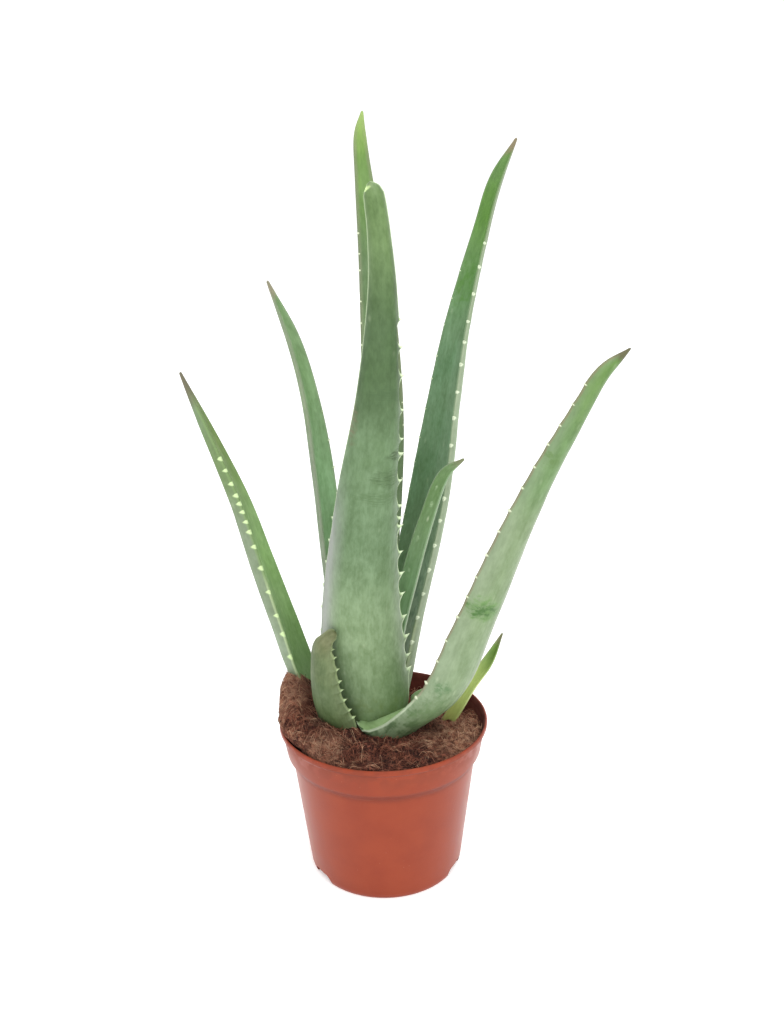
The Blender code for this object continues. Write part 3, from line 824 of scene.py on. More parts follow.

# One mark on the skin, a blemish or a patch of painted shade: Centre and Half Size are across and
# along the blade, in mm. Stretch sets its pattern: 1 gives a blotchy bruise, and less than 1 gives
# fine scratches that run across the blade. The mix's pale and dark patches use it too.
scar_and_shade, scar_and_shade_in, scar_and_shade_out = new_group(
    "scar_and_shade",
    {
        "Grain": (0, 0, 0),
        "Centre": (0, 0, 0),
        "Half Size": (2, 2, 1),
        "Colour": tone(130, 150, 120),
        "Mark": tone(90, 110, 80),
        "Amount": 0.5,
        "Stretch": 1.0,
    },
    {"Colour": 4},
)
away = vector(scar_and_shade, "SUBTRACT", scar_and_shade_in["Grain"], scar_and_shade_in["Centre"])
away = vector(scar_and_shade, "DIVIDE", away, scar_and_shade_in["Half Size"])
away = vector(scar_and_shade, "MULTIPLY", away, (1, 1, 0))
away = vector(scar_and_shade, "LENGTH", away)
ragged = patchy(scar_and_shade, scar_and_shade_in["Grain"], 3.0, spread=0.3)
away = fade(scar_and_shade, scaled(scar_and_shade, ragged, 0.6, away), 1.3, 0.6)
pattern = patchy(scar_and_shade, scar_and_shade_in["Grain"], 3.6, stretch=scar_and_shade_in["Stretch"], spread=0.08)
pattern = scaled(scar_and_shade, pattern, 0.7, 0.3)
away = times(scar_and_shade, times(scar_and_shade, away, pattern), scar_and_shade_in["Amount"])
scar_and_shade.links.new(blend(scar_and_shade, away, scar_and_shade_in["Colour"], scar_and_shade_in["Mark"]), scar_and_shade_out["Colour"])


def marked(tree, grain, colour, across, far, wide, long, mark, amount, stretch=1.0):
    """The colour with one mark on it; the marks are blemishes and patches of painted light and shade.
    """
    inputs = {"Grain": grain, "Centre": (across, far, 0), "Half Size": (wide, long, 1)}
    inputs.update({"Colour": colour, "Mark": tone(*mark), "Amount": amount, "Stretch": stretch})
    return use_group(tree, scar_and_shade, inputs)["Colour"]


def leaf_skin(name, outer=(), inner=(), dry=None, marks_and_shade=(), **looks):
    """A leaf's waxy skin, with colours from 0 to 255.

    outer, inner  tones of the two faces: low, middle, high and tip
    dry           the dried tip's colour, where it starts and how soon it is full
    scars         across, far, half width, half length, colour, amount and stretch of each mark,
              a blemish or a patch of painted shade
    looks         other inputs of the blade and margin groups that aren't the usual ones
    """
    made, tree, shader = new_material(name, 0.45, specular_ior_level=0.4)
    place, grain, edge = (
        node(tree, "Attribute", attribute_name=label).outputs["Vector"]
        for label in ("place", "grain", "edge")
    )
    for face, tones in (("outer", outer), ("inner", inner)):
        looks.update({f"{face}_{part}": shade for part, shade in zip(TONE_PARTS, tones)})
    blade_looks, margin_looks = {}, {}
    for key, value in looks.items():
        socket = key.replace("_", " ").title()
        chosen = blade_looks if socket in blade_in else margin_looks
        chosen[socket] = tone(*value) if np.size(value) == 3 else value
    skin = use_group(tree, blade, {"Place": place, "Grain": grain, **blade_looks})
    colour = skin["Colour"]
    for mark in marks_and_shade:
        colour = marked(tree, grain, colour, *mark)
    inputs = {"Edge": edge, "Grain": grain, "Place": place, "Colour": colour, **margin_looks}
    colour = use_group(tree, margin, inputs)["Colour"]
    if dry:
        inputs = {"Place": place, "Grain": grain, "Colour": colour}
        inputs.update({"Dry": tone(*dry[0]), "From": dry[1], "Reach": dry[2]})
        colour = use_group(tree, withered, inputs)["Colour"]
    tree.links.new(colour, shader["Base Color"])
    tree.links.new(skin["Gloss"], shader["Roughness"])
    bump = node(tree, "Bump", {"Height": skin["Height"], "Distance": 0.12 * MM, "Strength": 0.6})
    tree.links.new(bump.outputs[0], shader["Normal"])
    return made


def add_leaf(name, cad_node, leaf, skin, seed, slot="leaf_skin", **margins):
    """A leaf as one piece; margins are what blade_mesh takes besides the leaf and its seed."""
    add_piece(name, blade_mesh(name, leaf, seed, **margins), skin, slot, cad_node)


front = Leaf(
    through=[
        (-3, 5, 74), (-4, 1, 86), (-5, -3, 98), (-8.7, -10, 128), (-9.0, -22, 173),
        (-4.4, -32, 231), (2.2, -38, 284), (4.7, -40, 332), (3.7, -38, 360), (1.9, -36.5, 377),
        (1.0, -36.2, 381.5), (-0.2, -36, 384.8),
    ],
    half_widths=[9, 15, 21, 25, 22.2, 16.8, 11.7, 7.3, 5.5, 4.9, 4.2, 1.5],
    thickest=11, facing=(80, 96, 102, 94), clasp=(46, 26),
)
front_skin = leaf_skin(
    "front_leaf_skin",
    outer=[(136, 158, 121), (105, 132, 95), (68, 97, 52), (106, 133, 81)],
    flank=(158, 157, 158), flank_from=0.45, flank_top=0.42, flank_amount=0.8, other_flank=0.12,
    mottle_amount=0.75, bloom_amount=0.06,
    line=(194, 218, 166), line_low=(206, 222, 188), line_plus=0.7, line_minus=1.0, line_width=0.9,
    minus_wider=1.7, tooth=(206, 222, 184),
    marks_and_shade=[
        (82, 190, 6, 4, (50, 72, 36), 1.0, 0.14), (84, 178, 10, 6, (58, 82, 44), 0.9, 0.14),
        (90, 220, 9, 6, (60, 86, 48), 0.8, 0.16), (88, 168, 12, 5, (70, 96, 56), 0.6, 0.2),
        (101, 203, 3, 12, (100, 94, 66), 0.7, 0.5), (88, 186, 16, 24, (92, 120, 78), 0.3, 1.4),
        # The broad darker mark 22 mm along, across the outer face's base, is painted shade near the
        # mix.
        (90, 22, 30, 26, (106, 126, 76), 0.7, 2.0),
        (92.6, 315.5, 2.4, 1.6, (206, 232, 160), 1.0, 1.0),
    ],
)
FRONT_TEETH = {
    1: [80, 96, 110, 124, 137, 150],
    -1: [44, 55, 69, 84, 101, 115, 129, 145, 150, 157, 172, 187, 195, 210, 227, 241, 254],
}
add_leaf(
    "front_leaf", "leaf_front", front, front_skin, 1, teeth=(24, 0.85, 12, 18), sizes=(1.1, 2.8),
    seen=FRONT_TEETH, scallop=(0.3, 2.2), root=1.7, thinning=(0.75, 1.25),
)

# Tall back leaf
# The highest leaf, upright behind the front one, with its hollow face turned to the front. It is
# bright yellow-green at the top, where it is young, with grey-brown edges.
back_tall = Leaf(
    through=[
        (-5, 20, 74), (-5, 26, 128), (0.6, 38, 211), (2.8, 43, 269), (0.3, 48, 335),
        (-4.8, 50, 388), (-6.3, 50, 410), (-4.9, 50, 422.5),
    ],
    half_widths=[7, 10, 12.4, 11.8, 8.8, 4.6, 3.0, 0.6],
    thickest=8, facing=(-90, -90, -75), clasp=(40, 30),
)
back_tall_skin = leaf_skin(
    "back_tall_leaf_skin",
    # The dark low and middle tones are partly painted shade, where the front leaf shades this leaf.
    inner=[(84, 106, 74), (94, 122, 76), (113, 153, 58)],
    inner_change=0.76,
    line=(120, 128, 98), line_low=(92, 108, 78), line_change=0.5, line_plus=0.75, line_minus=0.75,
    line_width=2.2,
    dry=((146, 172, 94), 0.94, 0.08),
)
add_leaf(
    "back_tall_leaf", "leaf_back_tall", back_tall, back_tall_skin, 2, teeth=(150, 0.82, 14, 16),
    sizes=(0.9, 1.2), seen={-1: [165, 182, 198, 214, 228, 240, 252, 269, 278, 289]},
)

# Back right leaf
# A long leaf that leans away to the right, with its hollow face to the front left and a row of white
# teeth down its right margin. Its low half is shaded and blue-green.
back_right = Leaf(
    through=[
        (5.5, 25, 74), (11.9, 38, 128), (29, 50, 206), (38.5, 58, 265), (47.1, 64, 310),
        (60.5, 70, 360), (68.8, 73, 387), (80.4, 75, 409),
    ],
    half_widths=[4, 12.4, 13.6, 9.9, 7.2, 4.3, 3.5, 0.6],
    thickest=8.8, facing=(-138, -130, -120, -114), clasp=(40, 30),
)
back_right_skin = leaf_skin(
    "back_right_leaf_skin",
    outer=[(164, 184, 152), (150, 174, 138), (146, 170, 130)],
    inner=[(125, 150, 118), (101, 136, 100), (85, 131, 38)],
    inner_change=0.62, mottle_amount=0.7,
    line=(150, 164, 132), line_plus=0.4, line_minus=0.2, tooth=(208, 220, 190),
    dry=((124, 110, 86), 0.975, 0.03),
    # The long dark mark 92 mm along is painted shade low on the hollow face, where the leaves in front
    # shade it.
    marks_and_shade=[(0, 266, 9, 18, (66, 112, 34), 0.75, 2.0), (7, 92, 7, 44, (66, 100, 64), 0.8, 2.0)],
)
BACK_RIGHT_TEETH = [
    52, 68, 83, 98, 113, 128, 141, 158, 172, 188, 203, 219, 232, 244, 260, 275.5, 289,
]
add_leaf(
    "back_right_leaf", "leaf_back_right", back_right, back_right_skin, 3, teeth=(30, 0.8, 14, 17),
    sizes=(1.1, 0.6), seen={1: BACK_RIGHT_TEETH}, scallop=(0.4, 0.2), root=2.6,
)

# Small inner leaf
# The youngest leaf of the rosette, narrow and still rolled, between the front and the back right
# leaves. It has white flecks and a small brown tip.
inner_small = Leaf(
    through=[
        (3, 10, 76), (6.2, 11, 128), (17.2, 17, 173), (27.5, 22, 206), (36.3, 24, 228),
        (47.8, 25, 237.2),
    ],
    half_widths=[4, 4.8, 4.5, 3.7, 2.9, 0.6],
    thickest=4, facing=(-112, -100), clasp=(40, 40),
)
inner_small_skin = leaf_skin(
    "inner_small_leaf_skin",
    outer=[(140, 162, 122), (140, 162, 122), (134, 158, 112)],
    inner=[(116, 140, 110), (109, 144, 99), (115, 147, 95)],
    fleck_amount=0.4,
    line=(150, 180, 140), line_plus=0.7, line_minus=0.1, line_width=0.5,
    dry=((120, 124, 92), 0.95, 0.05),
    marks_and_shade=[
        (-0.5, 150, 0.9, 1.8, (186, 210, 168), 0.5, 1.0),
        (0.2, 140, 1.3, 2.0, (186, 210, 168), 0.5, 1.0),
        (-1.5, 119, 1.2, 2.4, (186, 210, 168), 0.5, 1.0),
        (-1.5, 100, 1.0, 1.8, (186, 210, 168), 0.6, 1.0),
    ],
)
add_leaf("inner_small_leaf", "leaf_inner_small", inner_small, inner_small_skin, 4)

# Back left leaf
# A slender leaf behind the front one, which curves out to the left. Its hollow face shows, with a
# narrow grey strip of its outer face down the left.
back_left = Leaf(
    through=[
        (-15, 24, 74), (-23.9, 31, 128), (-27.5, 34, 175), (-32.2, 40, 229), (-37.7, 44, 269),
        (-46.4, 48, 303), (-59.7, 50, 335),
    ],
    half_widths=[6, 6.4, 6.6, 6.4, 4.9, 3.7, 0.6],
    thickest=6, facing=(-34, -52, -48, -44), clasp=(40, 30),
)
back_left_skin = leaf_skin(
    "back_left_leaf_skin",
    outer=[(126, 144, 120), (122, 142, 114), (117, 142, 99)],
    inner=[(136, 166, 124), (134, 173, 126), (116, 148, 100)],
    mottle_amount=0.7,
    line=(150, 156, 136), line_plus=0.3, line_minus=0.4, line_width=1.2,
    dry=((132, 126, 104), 0.965, 0.03),
)
add_leaf(
    "back_left_leaf", "leaf_back_left", back_left, back_left_skin, 5, teeth=(30, 0.75, 13, 16),
    sizes=(1.4, 0), seen={1: [110, 126, 142, 157, 173, 190]},
)

# Left leaf
# The lowest leaf on the left, which leans out over the rim. A line of pale teeth parts its bright
# hollow face from the grey flank, and its tip has dried to a purple-brown.
left = Leaf(
    through=[
        (-22, 12, 74), (-43.2, 16, 106), (-55.4, 15, 146), (-65.6, 14, 183), (-75.5, 13, 219),
        (-89.7, 12, 257), (-104.1, 12, 291),
    ],
    half_widths=[6, 8.1, 7.9, 7.3, 5.9, 3.5, 0.6],
    thickest=8, facing=(-42, -19, -7), clasp=(45, 30),
)
left_skin = leaf_skin(
    "left_leaf_skin",
    outer=[(140, 158, 132), (124, 142, 112), (107, 134, 77)],
    inner=[(124, 158, 102), (137, 174, 106), (113, 135, 76)],
    flank_top=0.56,
    line=(118, 146, 88), line_plus=0.2, line_minus=0.7, line_width=0.25, line_change=0.44,
    line_low=(170, 190, 140), tooth=(196, 220, 160), point=(196, 220, 160),
    dry=((98, 90, 72), 0.9, 0.09),
)
LEFT_TEETH = [61, 76, 88, 103, 118, 131, 140, 146, 152, 157, 162, 169, 177, 184]
add_leaf(
    "left_leaf", "leaf_left", left, left_skin, 6, teeth=(40, 0.82, 11, 14), sizes=(0, 0.4),
    seen={-1: LEFT_TEETH}, root=9,
)

# Right leaf
# The long leaf that leans right. Its base is a pale sheath that clasps the front leaf's base, and its
# rounded outer face is turned to the front all the way to a dark tip.
right = Leaf(
    through=[
        (0, -11, 73), (7.4, -9.4, 85.4), (13.5, -12.3, 96.3), (35, -23, 120), (49.8, -24, 155),
        (64.1, -28, 195), (79.8, -32, 235), (99.3, -36, 275), (110, -38, 295), (122.5, -40, 307),
    ],
    half_widths=[16, 27, 21, 19.2, 17.2, 14.9, 10.7, 7.3, 5.0, 0.6],
    thickest=8, facing=(118, 135, 154, 146, 141, 142, 141, 139, 137, 136), clasp=(57, 25),
)
right_skin = leaf_skin(
    "right_leaf_skin",
    outer=[(132, 152, 116), (132, 152, 114), (109, 141, 88), (94, 132, 54)],
    inner=[(160, 188, 136)],
    flank=(164, 170, 157), flank_side=-1.0, flank_from=0.0, flank_amount=0.75, bloom_amount=0.08,
    line=(130, 112, 92), line_low=(204, 218, 188), line_change=0.17, line_plus=0.6, line_minus=0.3,
    line_width=0.6,
    dry=((84, 80, 52), 0.975, 0.025),
    marks_and_shade=[
        (97, 118, 13, 11, (92, 130, 66), 0.85, 1.0), (99, 117, 10, 6, (60, 98, 40), 1.0, 0.5),
        # Painted shade: the narrow mark across 114, 24 mm along, darkens the crease under the sheath's
        # margin. The broad dark marks 18, 34 and 50 mm along are partly a bruise and partly painted
        # shade near the mix.
        (114, 24, 3, 18, (72, 94, 60), 0.6, 1.0), (92, 34, 32, 34, (76, 100, 62), 0.95, 2.0),
        (96, 18, 34, 20, (64, 84, 54), 0.8, 2.0), (100, 50, 18, 14, (96, 122, 80), 0.7, 1.6),
        (102, 67, 7, 5, (80, 112, 70), 0.8, 0.8), (95, 205, 7, 6, (84, 114, 58), 0.75, 1.0),
        (92, 240, 5, 22, (98, 128, 70), 0.6, 1.2),
    ],
)
RIGHT_TEETH = [55, 66, 80, 93, 109, 122, 134, 147, 161, 173, 186, 198, 211, 222, 234, 245]
add_leaf(
    "right_leaf", "leaf_right", right, right_skin, 7, teeth=(36, 0.93, 11, 15), sizes=(1.3, 0.8),
    seen={1: RIGHT_TEETH}, scallop=(0.5, 0.3), cushion=(8.2, 18, 52),
)

# Old front leaf
# A short old leaf at the front left, broad and blunt, which clasps the rest. It is olive-green, brown
# at its end, with small teeth close together.
stub = Leaf(
    through=[
        (-21, -7, 74), (-29, -16.5, 102), (-31.3, -22, 120), (-31.6, -26, 138), (-31.2, -28, 148),
        (-28.9, -29, 153), (-25.8, -30, 156.4), (-24.2, -30.2, 157.4),
    ],
    half_widths=[10, 15, 11.1, 8.6, 6.4, 3.6, 2.9, 1.6],
    thickest=5.5, facing=(37, 53), clasp=(55, 45),
)
stub_skin = leaf_skin(
    "old_leaf_skin",
    outer=[(76, 94, 56), (80, 100, 52), (92, 108, 60), (110, 112, 74)],
    flank=(146, 156, 118), flank_from=0.3, flank_amount=0.5, other_flank=0.25, mottle_amount=0.9,
    line=(150, 166, 120), line_low=(150, 166, 120), line_plus=0.6, line_minus=0.6, line_width=0.9,
    tooth=(166, 186, 136),
    marks_and_shade=[(85, 85, 3, 3, (84, 72, 48), 0.8, 1.0)],
)
STUB_TEETH = [32, 38.5, 46, 52.5, 58.5, 66.5, 74, 80.5]
add_leaf(
    "old_front_leaf", "leaf_front_stub", stub, stub_skin, 8, slot="old_leaf_skin",
    teeth=(28, 0.85, 5, 6), sizes=(0, 1.9), seen={-1: STUB_TEETH}, scallop=(0.0, 1.1),
)

# Offset shoot
# A young plant that comes up beside the old one at the right, still a single smooth blade, bright
# yellow-green with a grey-brown tip.
offset = Leaf(
    through=[(32.5, 8, 74), (40.8, 4, 90), (50.5, 3, 108), (60.6, 2, 124), (68.2, 1, 141)],
    half_widths=[3.4, 3.5, 3.2, 2.8, 0.5],
    thickest=2.4, facing=(-130, -125), clasp=(50, 40),
)
offset_skin = leaf_skin(
    "offset_skin",
    # The bright low tones are partly painted light, for light that shines through the thin young
    # blade.
    outer=[(196, 210, 128), (206, 218, 148), (142, 168, 96)],
    inner=[(192, 200, 118), (204, 222, 132), (104, 140, 48)],
    flank_amount=0.0, mottle_amount=0.3, bloom_amount=0.1, fleck_amount=0.0,
    line_plus=0.1, line_minus=0.3, line=(190, 200, 140),
    dry=((118, 118, 88), 0.88, 0.1),
)
add_leaf("offset_blade", "offset_shoot", offset, offset_skin, 9, slot="young_leaf_skin")

# Potting mix
# Coir and peat, poured round the stem and never pressed down: lumpy, heaped over the rim at the left,
# and lower at the right and at the back, where the pot's inner wall shows.
GAP = 0.35
MIX_LEVEL = 88.0
HEAPS = (  # x, y, spread, height of each rise or dip in the surface
    (-54, 14, 13, 23),
    (-53, -9, 12, 10),
    (-4, 4, 26, 4),
    (-47, -27, 13, 7),
    (-27, -29, 9, 4.5),
    (-17, -26, 6, 2.5),
    (2, -50, 22, 2.5),
    (46, 18, 18, -6),
    (14, 48, 20, -9),
)
# Painted light: the pale parts are paler patches of the mix where more light falls on it.
PALE_PARTS = (  # x, y, half width, half depth, and how much paler it is
    (42, -18, 26, 38, 0.8),
    (-54, 2, 16, 26, 0.45),
    (-34, -40, 16, 12, 0.5),
)
# The first dark part is painted shade under the right leaf; the other two are darker patches at the
# left.
DARK_PARTS = (  # x, y, half width, half depth, and how much darker it is
    (26, -10, 14, 12, 0.8),
    (-42, 10, 7, 16, 0.7),
    (-38, -24, 10, 7, 0.6),
)
OVERHANG = 2.6
SPILL_HEIGHT = 5.0  # how far above the rim the mix must stand to start hanging over it
SPILL_RANGE = 4.0  # how much higher still it hangs over in full
MIX_RADIUS = 56.0
MIX_COLUMNS = 400
MIX_ROWS = 84
CLUMP_ROWS = 12


def mix_height(x, y):
    """Height of the mix before its lumps: heaps, dips and a slow rise and fall."""
    height = MIX_LEVEL
    for centre_x, centre_y, spread, rise in HEAPS:
        square = ((x - centre_x) ** 2 + (y - centre_y) ** 2) / spread**2
        height += rise * math.exp(-square / 2)
    height += 0.9 * math.sin(0.31 * x + 1.0) * math.cos(0.27 * y)
    height += 0.6 * math.sin(0.17 * x - 0.23 * y + 2.0)
    return height


def lumps(x, y, z=0.0):
    """Clods and crumbs that stand out of the mix, in mm."""
    spot = Vector((x, y, z))
    clods = 2.4 * noise.noise(spot / 8.5)
    crumbs = 1.5 * noise.noise(spot / 3.6 + Vector((9, 2, 5)))
    grit = 0.6 * noise.noise(spot / 1.5 + Vector((3, 7, 1)))
    return clods + crumbs + grit


def inner_radius(height):
    """Radius of the collar's inner wall at a height."""
    low = (COLLAR_RADIUS - 1.2, POT_HEIGHT - COLLAR_HEIGHT + 2.4)
    high = (RIM_RADIUS - 2.4, POT_HEIGHT - LIP_HEIGHT)
    share = (height - low[1]) / (high[1] - low[1])
    return low[0] + (high[0] - low[0]) * min(1.0, max(0.0, share))


def mix_column(turn):
    """The mix's outline at one angle: (radius, height), from its middle, over its edge and down."""
    across, deep = math.cos(turn), math.sin(turn)
    edge = mix_height(MIX_RADIUS * across, MIX_RADIUS * deep)
    over = min(1.0, max(0.0, (edge - POT_HEIGHT - SPILL_HEIGHT) / SPILL_RANGE))
    inside = inner_radius(edge) - GAP - 0.2
    reach = inside + OVERHANG * over
    rows = []
    for row in range(MIX_ROWS):  # the last 7% rounds down, and the lumps calm down at the wall
        share = (row + 1) / MIX_ROWS
        radius = reach * share
        x, y = radius * across, radius * deep
        drop = (0.4 + 3 * over) * max(0.0, (share - 0.93) / 0.07) ** 2
        calm = 1 if over else min(1.0, (1 - share) * 12 + 0.35)
        rows.append((radius, mix_height(x, y) - drop + calm * lumps(x, y)))
    seat = POT_HEIGHT + GAP
    top = rows[-1][1]
    clump = top > seat + 1.0
    foot = seat + 0.2 if clump else top - 4
    for row in range(1, CLUMP_ROWS + 1):
        share = row / CLUMP_ROWS
        height = top + (foot - top) * share
        if clump:
            swell = lumps(MIX_RADIUS * across, MIX_RADIUS * deep, height) * 0.8
            swell *= math.sin(math.pi * share)
            rows.append((inside + (OVERHANG - 0.2) * over + swell, height))
        else:
            rows.append((inner_radius(height) - GAP, height))
    if clump:
        rows.append((inside, seat))
    else:
        rows.append((inner_radius(foot - 1) - GAP, foot - 1))
    shoulder = POT_HEIGHT - COLLAR_HEIGHT
    floor = CHANNEL_HEIGHT + WALL + GAP
    return rows + [
        (COLLAR_RADIUS - 1.2 - GAP, shoulder + 2.4),
        (COLLAR_RADIUS - 2.4 - GAP, shoulder + 1.0),
        (BODY_RADIUS - WALL + 0.3 - GAP, shoulder - 1.0),
        (BODY_RADIUS - WALL - GAP, shoulder - 3.4),
        (FOOT_RADIUS - 1.7 - GAP, CHANNEL_HEIGHT + WALL + 1.8),
        (FOOT_RADIUS - 3.0 - GAP, floor),
        (CHANNEL_INNER + 0.2 - GAP, floor),
        (CHANNEL_INNER - 1.2 - GAP, WALL + GAP),
    ]


def mix_points():
    """The mix's surface as rows of points: [column, row, xyz]."""
    turns = np.arange(MIX_COLUMNS) * 2 * math.pi / MIX_COLUMNS
    outlines = np.array([mix_column(turn) for turn in turns])
    radius, height = outlines[..., 0], outlines[..., 1]
    return np.stack([radius * np.cos(turns)[:, None], radius * np.sin(turns)[:, None], height], -1)


def closed_round_mesh(name, points):
    """A skin over points that run outwards in columns about Z, closed at the top and the floor."""
    columns, rows = points.shape[:2]
    top = np.array([0, 0, points[:, 0, 2].mean()])
    floor = np.array([0, 0, points[0, -1, 2]])
    index = np.arange(columns * rows).reshape(columns, rows)
    nexts = np.roll(index, -1, axis=0)
    quads = np.stack([index[:, :-1], index[:, 1:], nexts[:, 1:], nexts[:, :-1]], -1).reshape(-1, 4)
    count = columns * rows
    fans = [(count, int(a), int(b)) for a, b in zip(index[:, 0], nexts[:, 0])]
    fans += [(count + 1, int(b), int(a)) for a, b in zip(index[:, -1], nexts[:, -1])]
    corners = np.vstack([points.reshape(-1, 3), top, floor])
    return smooth_mesh(name, corners, quads.tolist() + fans)


def with_pale_and_dark_parts(tree, place, colour, pale):
    """The mix's colour: paler in the pale parts, which is painted light, and darker in the dark parts.
    """
    for parts, mark in ((PALE_PARTS, pale), (DARK_PARTS, (44, 24, 20))):
        for x, y, wide, deep, amount in parts:
            colour = marked(tree, place, colour, x, y, wide, deep, mark, amount)
    return colour


def peat():
    """Dark crumbs and clods with specks of paler chaff."""
    made, tree, shader = new_material("peat", 0.95, specular_ior_level=0.15)
    place = millimetres(tree)
    crumbs = patchy(tree, place, 1.2, spread=0.12, detail=5.0)
    clods = patchy(tree, place, 5.0, spread=0.08, detail=4.0)
    colour = blend(tree, crumbs, tone(58, 33, 28), tone(130, 78, 62))
    colour = blend(tree, times(tree, clods, 0.7), colour, tone(44, 25, 22))
    chaff = specks(tree, place, 1.6, stretch=2.5, cover=0.3, reach=0.3)
    colour = blend(tree, times(tree, chaff, 0.5), colour, tone(166, 112, 88))
    tree.links.new(with_pale_and_dark_parts(tree, place, colour, (184, 130, 102)), shader["Base Color"])
    bump = node(tree, "Bump", {"Height": crumbs, "Distance": 0.8 * MM})
    tree.links.new(bump.outputs[0], shader["Normal"])
    return made


mix_surface = mix_points()
peat_material = peat()
add_piece(
    "potting_mix_bed",
    closed_round_mesh("potting_mix_bed", mix_surface),
    peat_material,
    "potting_mix",
    "potting_mix",
)

# Coir fibres and crumbs
# The loose top of the mix: fine red-brown and tan fibres of coconut husk that lie matted every way,
# stick out of the heap and hang over the rim, and small crumbs of peat among them.
TUFT_COUNT = 420
TUFT_FIBRES = 16
STRAND_COUNT = 460
STRAND_FIBRES = 3
CRUMB_COUNT = 1500
HEAP_SHARE = 0.25  # share of the tufts that lie on the heap at the left
HEAP_TURN = 190  # the heap's angle about Z, in degrees
WALL_ROOM = 2.8  # room for the lip, inside the rim's radius
draw = np.random.default_rng(20)
SHOWN_ROWS = MIX_ROWS + CLUMP_ROWS
ROW_SIZE = MIX_RADIUS / MIX_ROWS


def on_mix(turn, row):
    """The point on the mix's surface at an angle and a row, which need not be whole."""
    column = (turn / (2 * math.pi) * MIX_COLUMNS) % MIX_COLUMNS
    row = np.clip(row, 0, SHOWN_ROWS - 1.001)
    c, r = column.astype(int), row.astype(int)
    fc, fr = (column - c)[..., None], (row - r)[..., None]
    d = (c + 1) % MIX_COLUMNS
    near = mix_surface[c, r] * (1 - fr) + mix_surface[c, r + 1] * fr
    far = mix_surface[d, r] * (1 - fr) + mix_surface[d, r + 1] * fr
    return near * (1 - fc) + far * fc


def tuft_lines(tufts, per_tuft, points, length, lift, spread, fan):
    """Centre lines of fibres that lie in tufts, and a tint for each.

    length, lift  lowest and highest of a fibre, in mm; it rises off the surface in its middle
    spread, fan   how far the fibres of a tuft lie apart, in mm, and how much their headings differ
    """
    turn = draw.uniform(0, 2 * math.pi, tufts)
    left = draw.random(tufts) < HEAP_SHARE
    turn[left] = math.radians(HEAP_TURN) + draw.normal(0, 0.45, left.sum())
    row = MIX_ROWS * np.sqrt(draw.uniform(0.02, 1.05, tufts))
    row[left] = draw.uniform(0.7, 1.12, left.sum()) * MIX_ROWS
    heading = draw.uniform(0, 2 * math.pi, tufts)
    shade = draw.random(tufts)
    tuft = np.repeat(np.arange(tufts), per_tuft)
    turn, row, heading, shade = turn[tuft], row[tuft], heading[tuft], shade[tuft]
    count = len(turn)
    turn = turn + draw.normal(0, spread, count) / np.maximum(row * ROW_SIZE, 8)
    row = row + draw.normal(0, spread, count) / ROW_SIZE
    heading = heading + draw.normal(0, fan, count)
    curl = draw.normal(0, fan, count) / points
    step = draw.uniform(*length, count) / points
    rise = draw.uniform(*lift, count)
    tilt = draw.normal(0, 0.35, count)
    lines = []
    for index in range(points):
        share = index / (points - 1)
        point = on_mix(turn, row)
        arch = math.sin(math.pi * share) + tilt * (2 * share - 1)
        point[:, 2] += 0.1 + rise * np.maximum(arch, 0)
        lines.append(point)
        radius = np.maximum(np.hypot(point[:, 0], point[:, 1]), 6)
        turn = turn + np.cos(heading) * step / radius
        row = row + np.sin(heading) * step / ROW_SIZE
        heading = heading + curl
    return np.stack(lines, axis=1), np.clip(0.6 * shade + 0.5 * draw.random(count), 0, 1)


def kept_clear(lines):
    """Which of the lines don't run through the pot's wall."""
    radius = np.hypot(lines[..., 0], lines[..., 1])
    low = lines[..., 2] < POT_HEIGHT + 0.5
    return ~((radius > RIM_RADIUS - WALL_ROOM) & low).any(axis=1)


def thread_mesh(name, lines, widths, tints):
    """A three-sided thread along each line, thinner at its ends, with a tint for each thread."""
    count, points = lines.shape[:2]
    along = unit(np.gradient(lines, axis=1) + 1e-6)
    across = unit(np.cross(along, unit(draw.normal(0, 1, (count, 1, 3)))))
    other = np.cross(along, across)
    taper = np.sin(np.linspace(0.25, math.pi - 0.25, points)) ** 0.5
    size = (widths[:, None] * taper[None, :])[..., None]
    corners = []
    for corner in range(3):
        angle = 2 * math.pi * corner / 3
        corners.append(lines + (across * math.cos(angle) + other * math.sin(angle)) * size)
    rows = np.stack(corners, axis=2).reshape(-1, 3)
    index = np.arange(count * points * 3).reshape(count, points, 3)
    nexts = np.roll(index, -1, axis=2)
    quads = np.stack([index[:, :-1], nexts[:, :-1], nexts[:, 1:], index[:, 1:]], -1).reshape(-1, 4)
    ends = index[:, 0, ::-1].tolist() + index[:, -1].tolist()
    mesh = smooth_mesh(name, rows, quads.tolist() + ends)
    layer = mesh.attributes.new("tint", "FLOAT", "POINT")
    layer.data.foreach_set("value", np.repeat(tints, points * 3).astype(np.float32))
    return mesh


def crumb_mesh(name, count):
    """Small uneven lumps, sunk by a third in the mix's surface."""
    shape = bmesh.new()
    turns = draw.uniform(0, 2 * math.pi, count)
    rows = (MIX_ROWS + 6) * np.sqrt(draw.random(count))
    for place, size in zip(on_mix(turns, rows), 0.35 + 0.9 * draw.random(count) ** 3):
        if math.hypot(place[0], place[1]) > RIM_RADIUS - 4 and place[2] < POT_HEIGHT + 1:
            continue
        lump = bmesh.ops.create_icosphere(shape, subdivisions=1, radius=size * MM)["verts"]
        for vertex in lump:
            vertex.co *= draw.uniform(0.7, 1.25)
            vertex.co += Vector(place + (0, 0, size / 3)) * MM
    mesh = mesh_from(name, shape)
    mesh.shade_smooth()
    return mesh


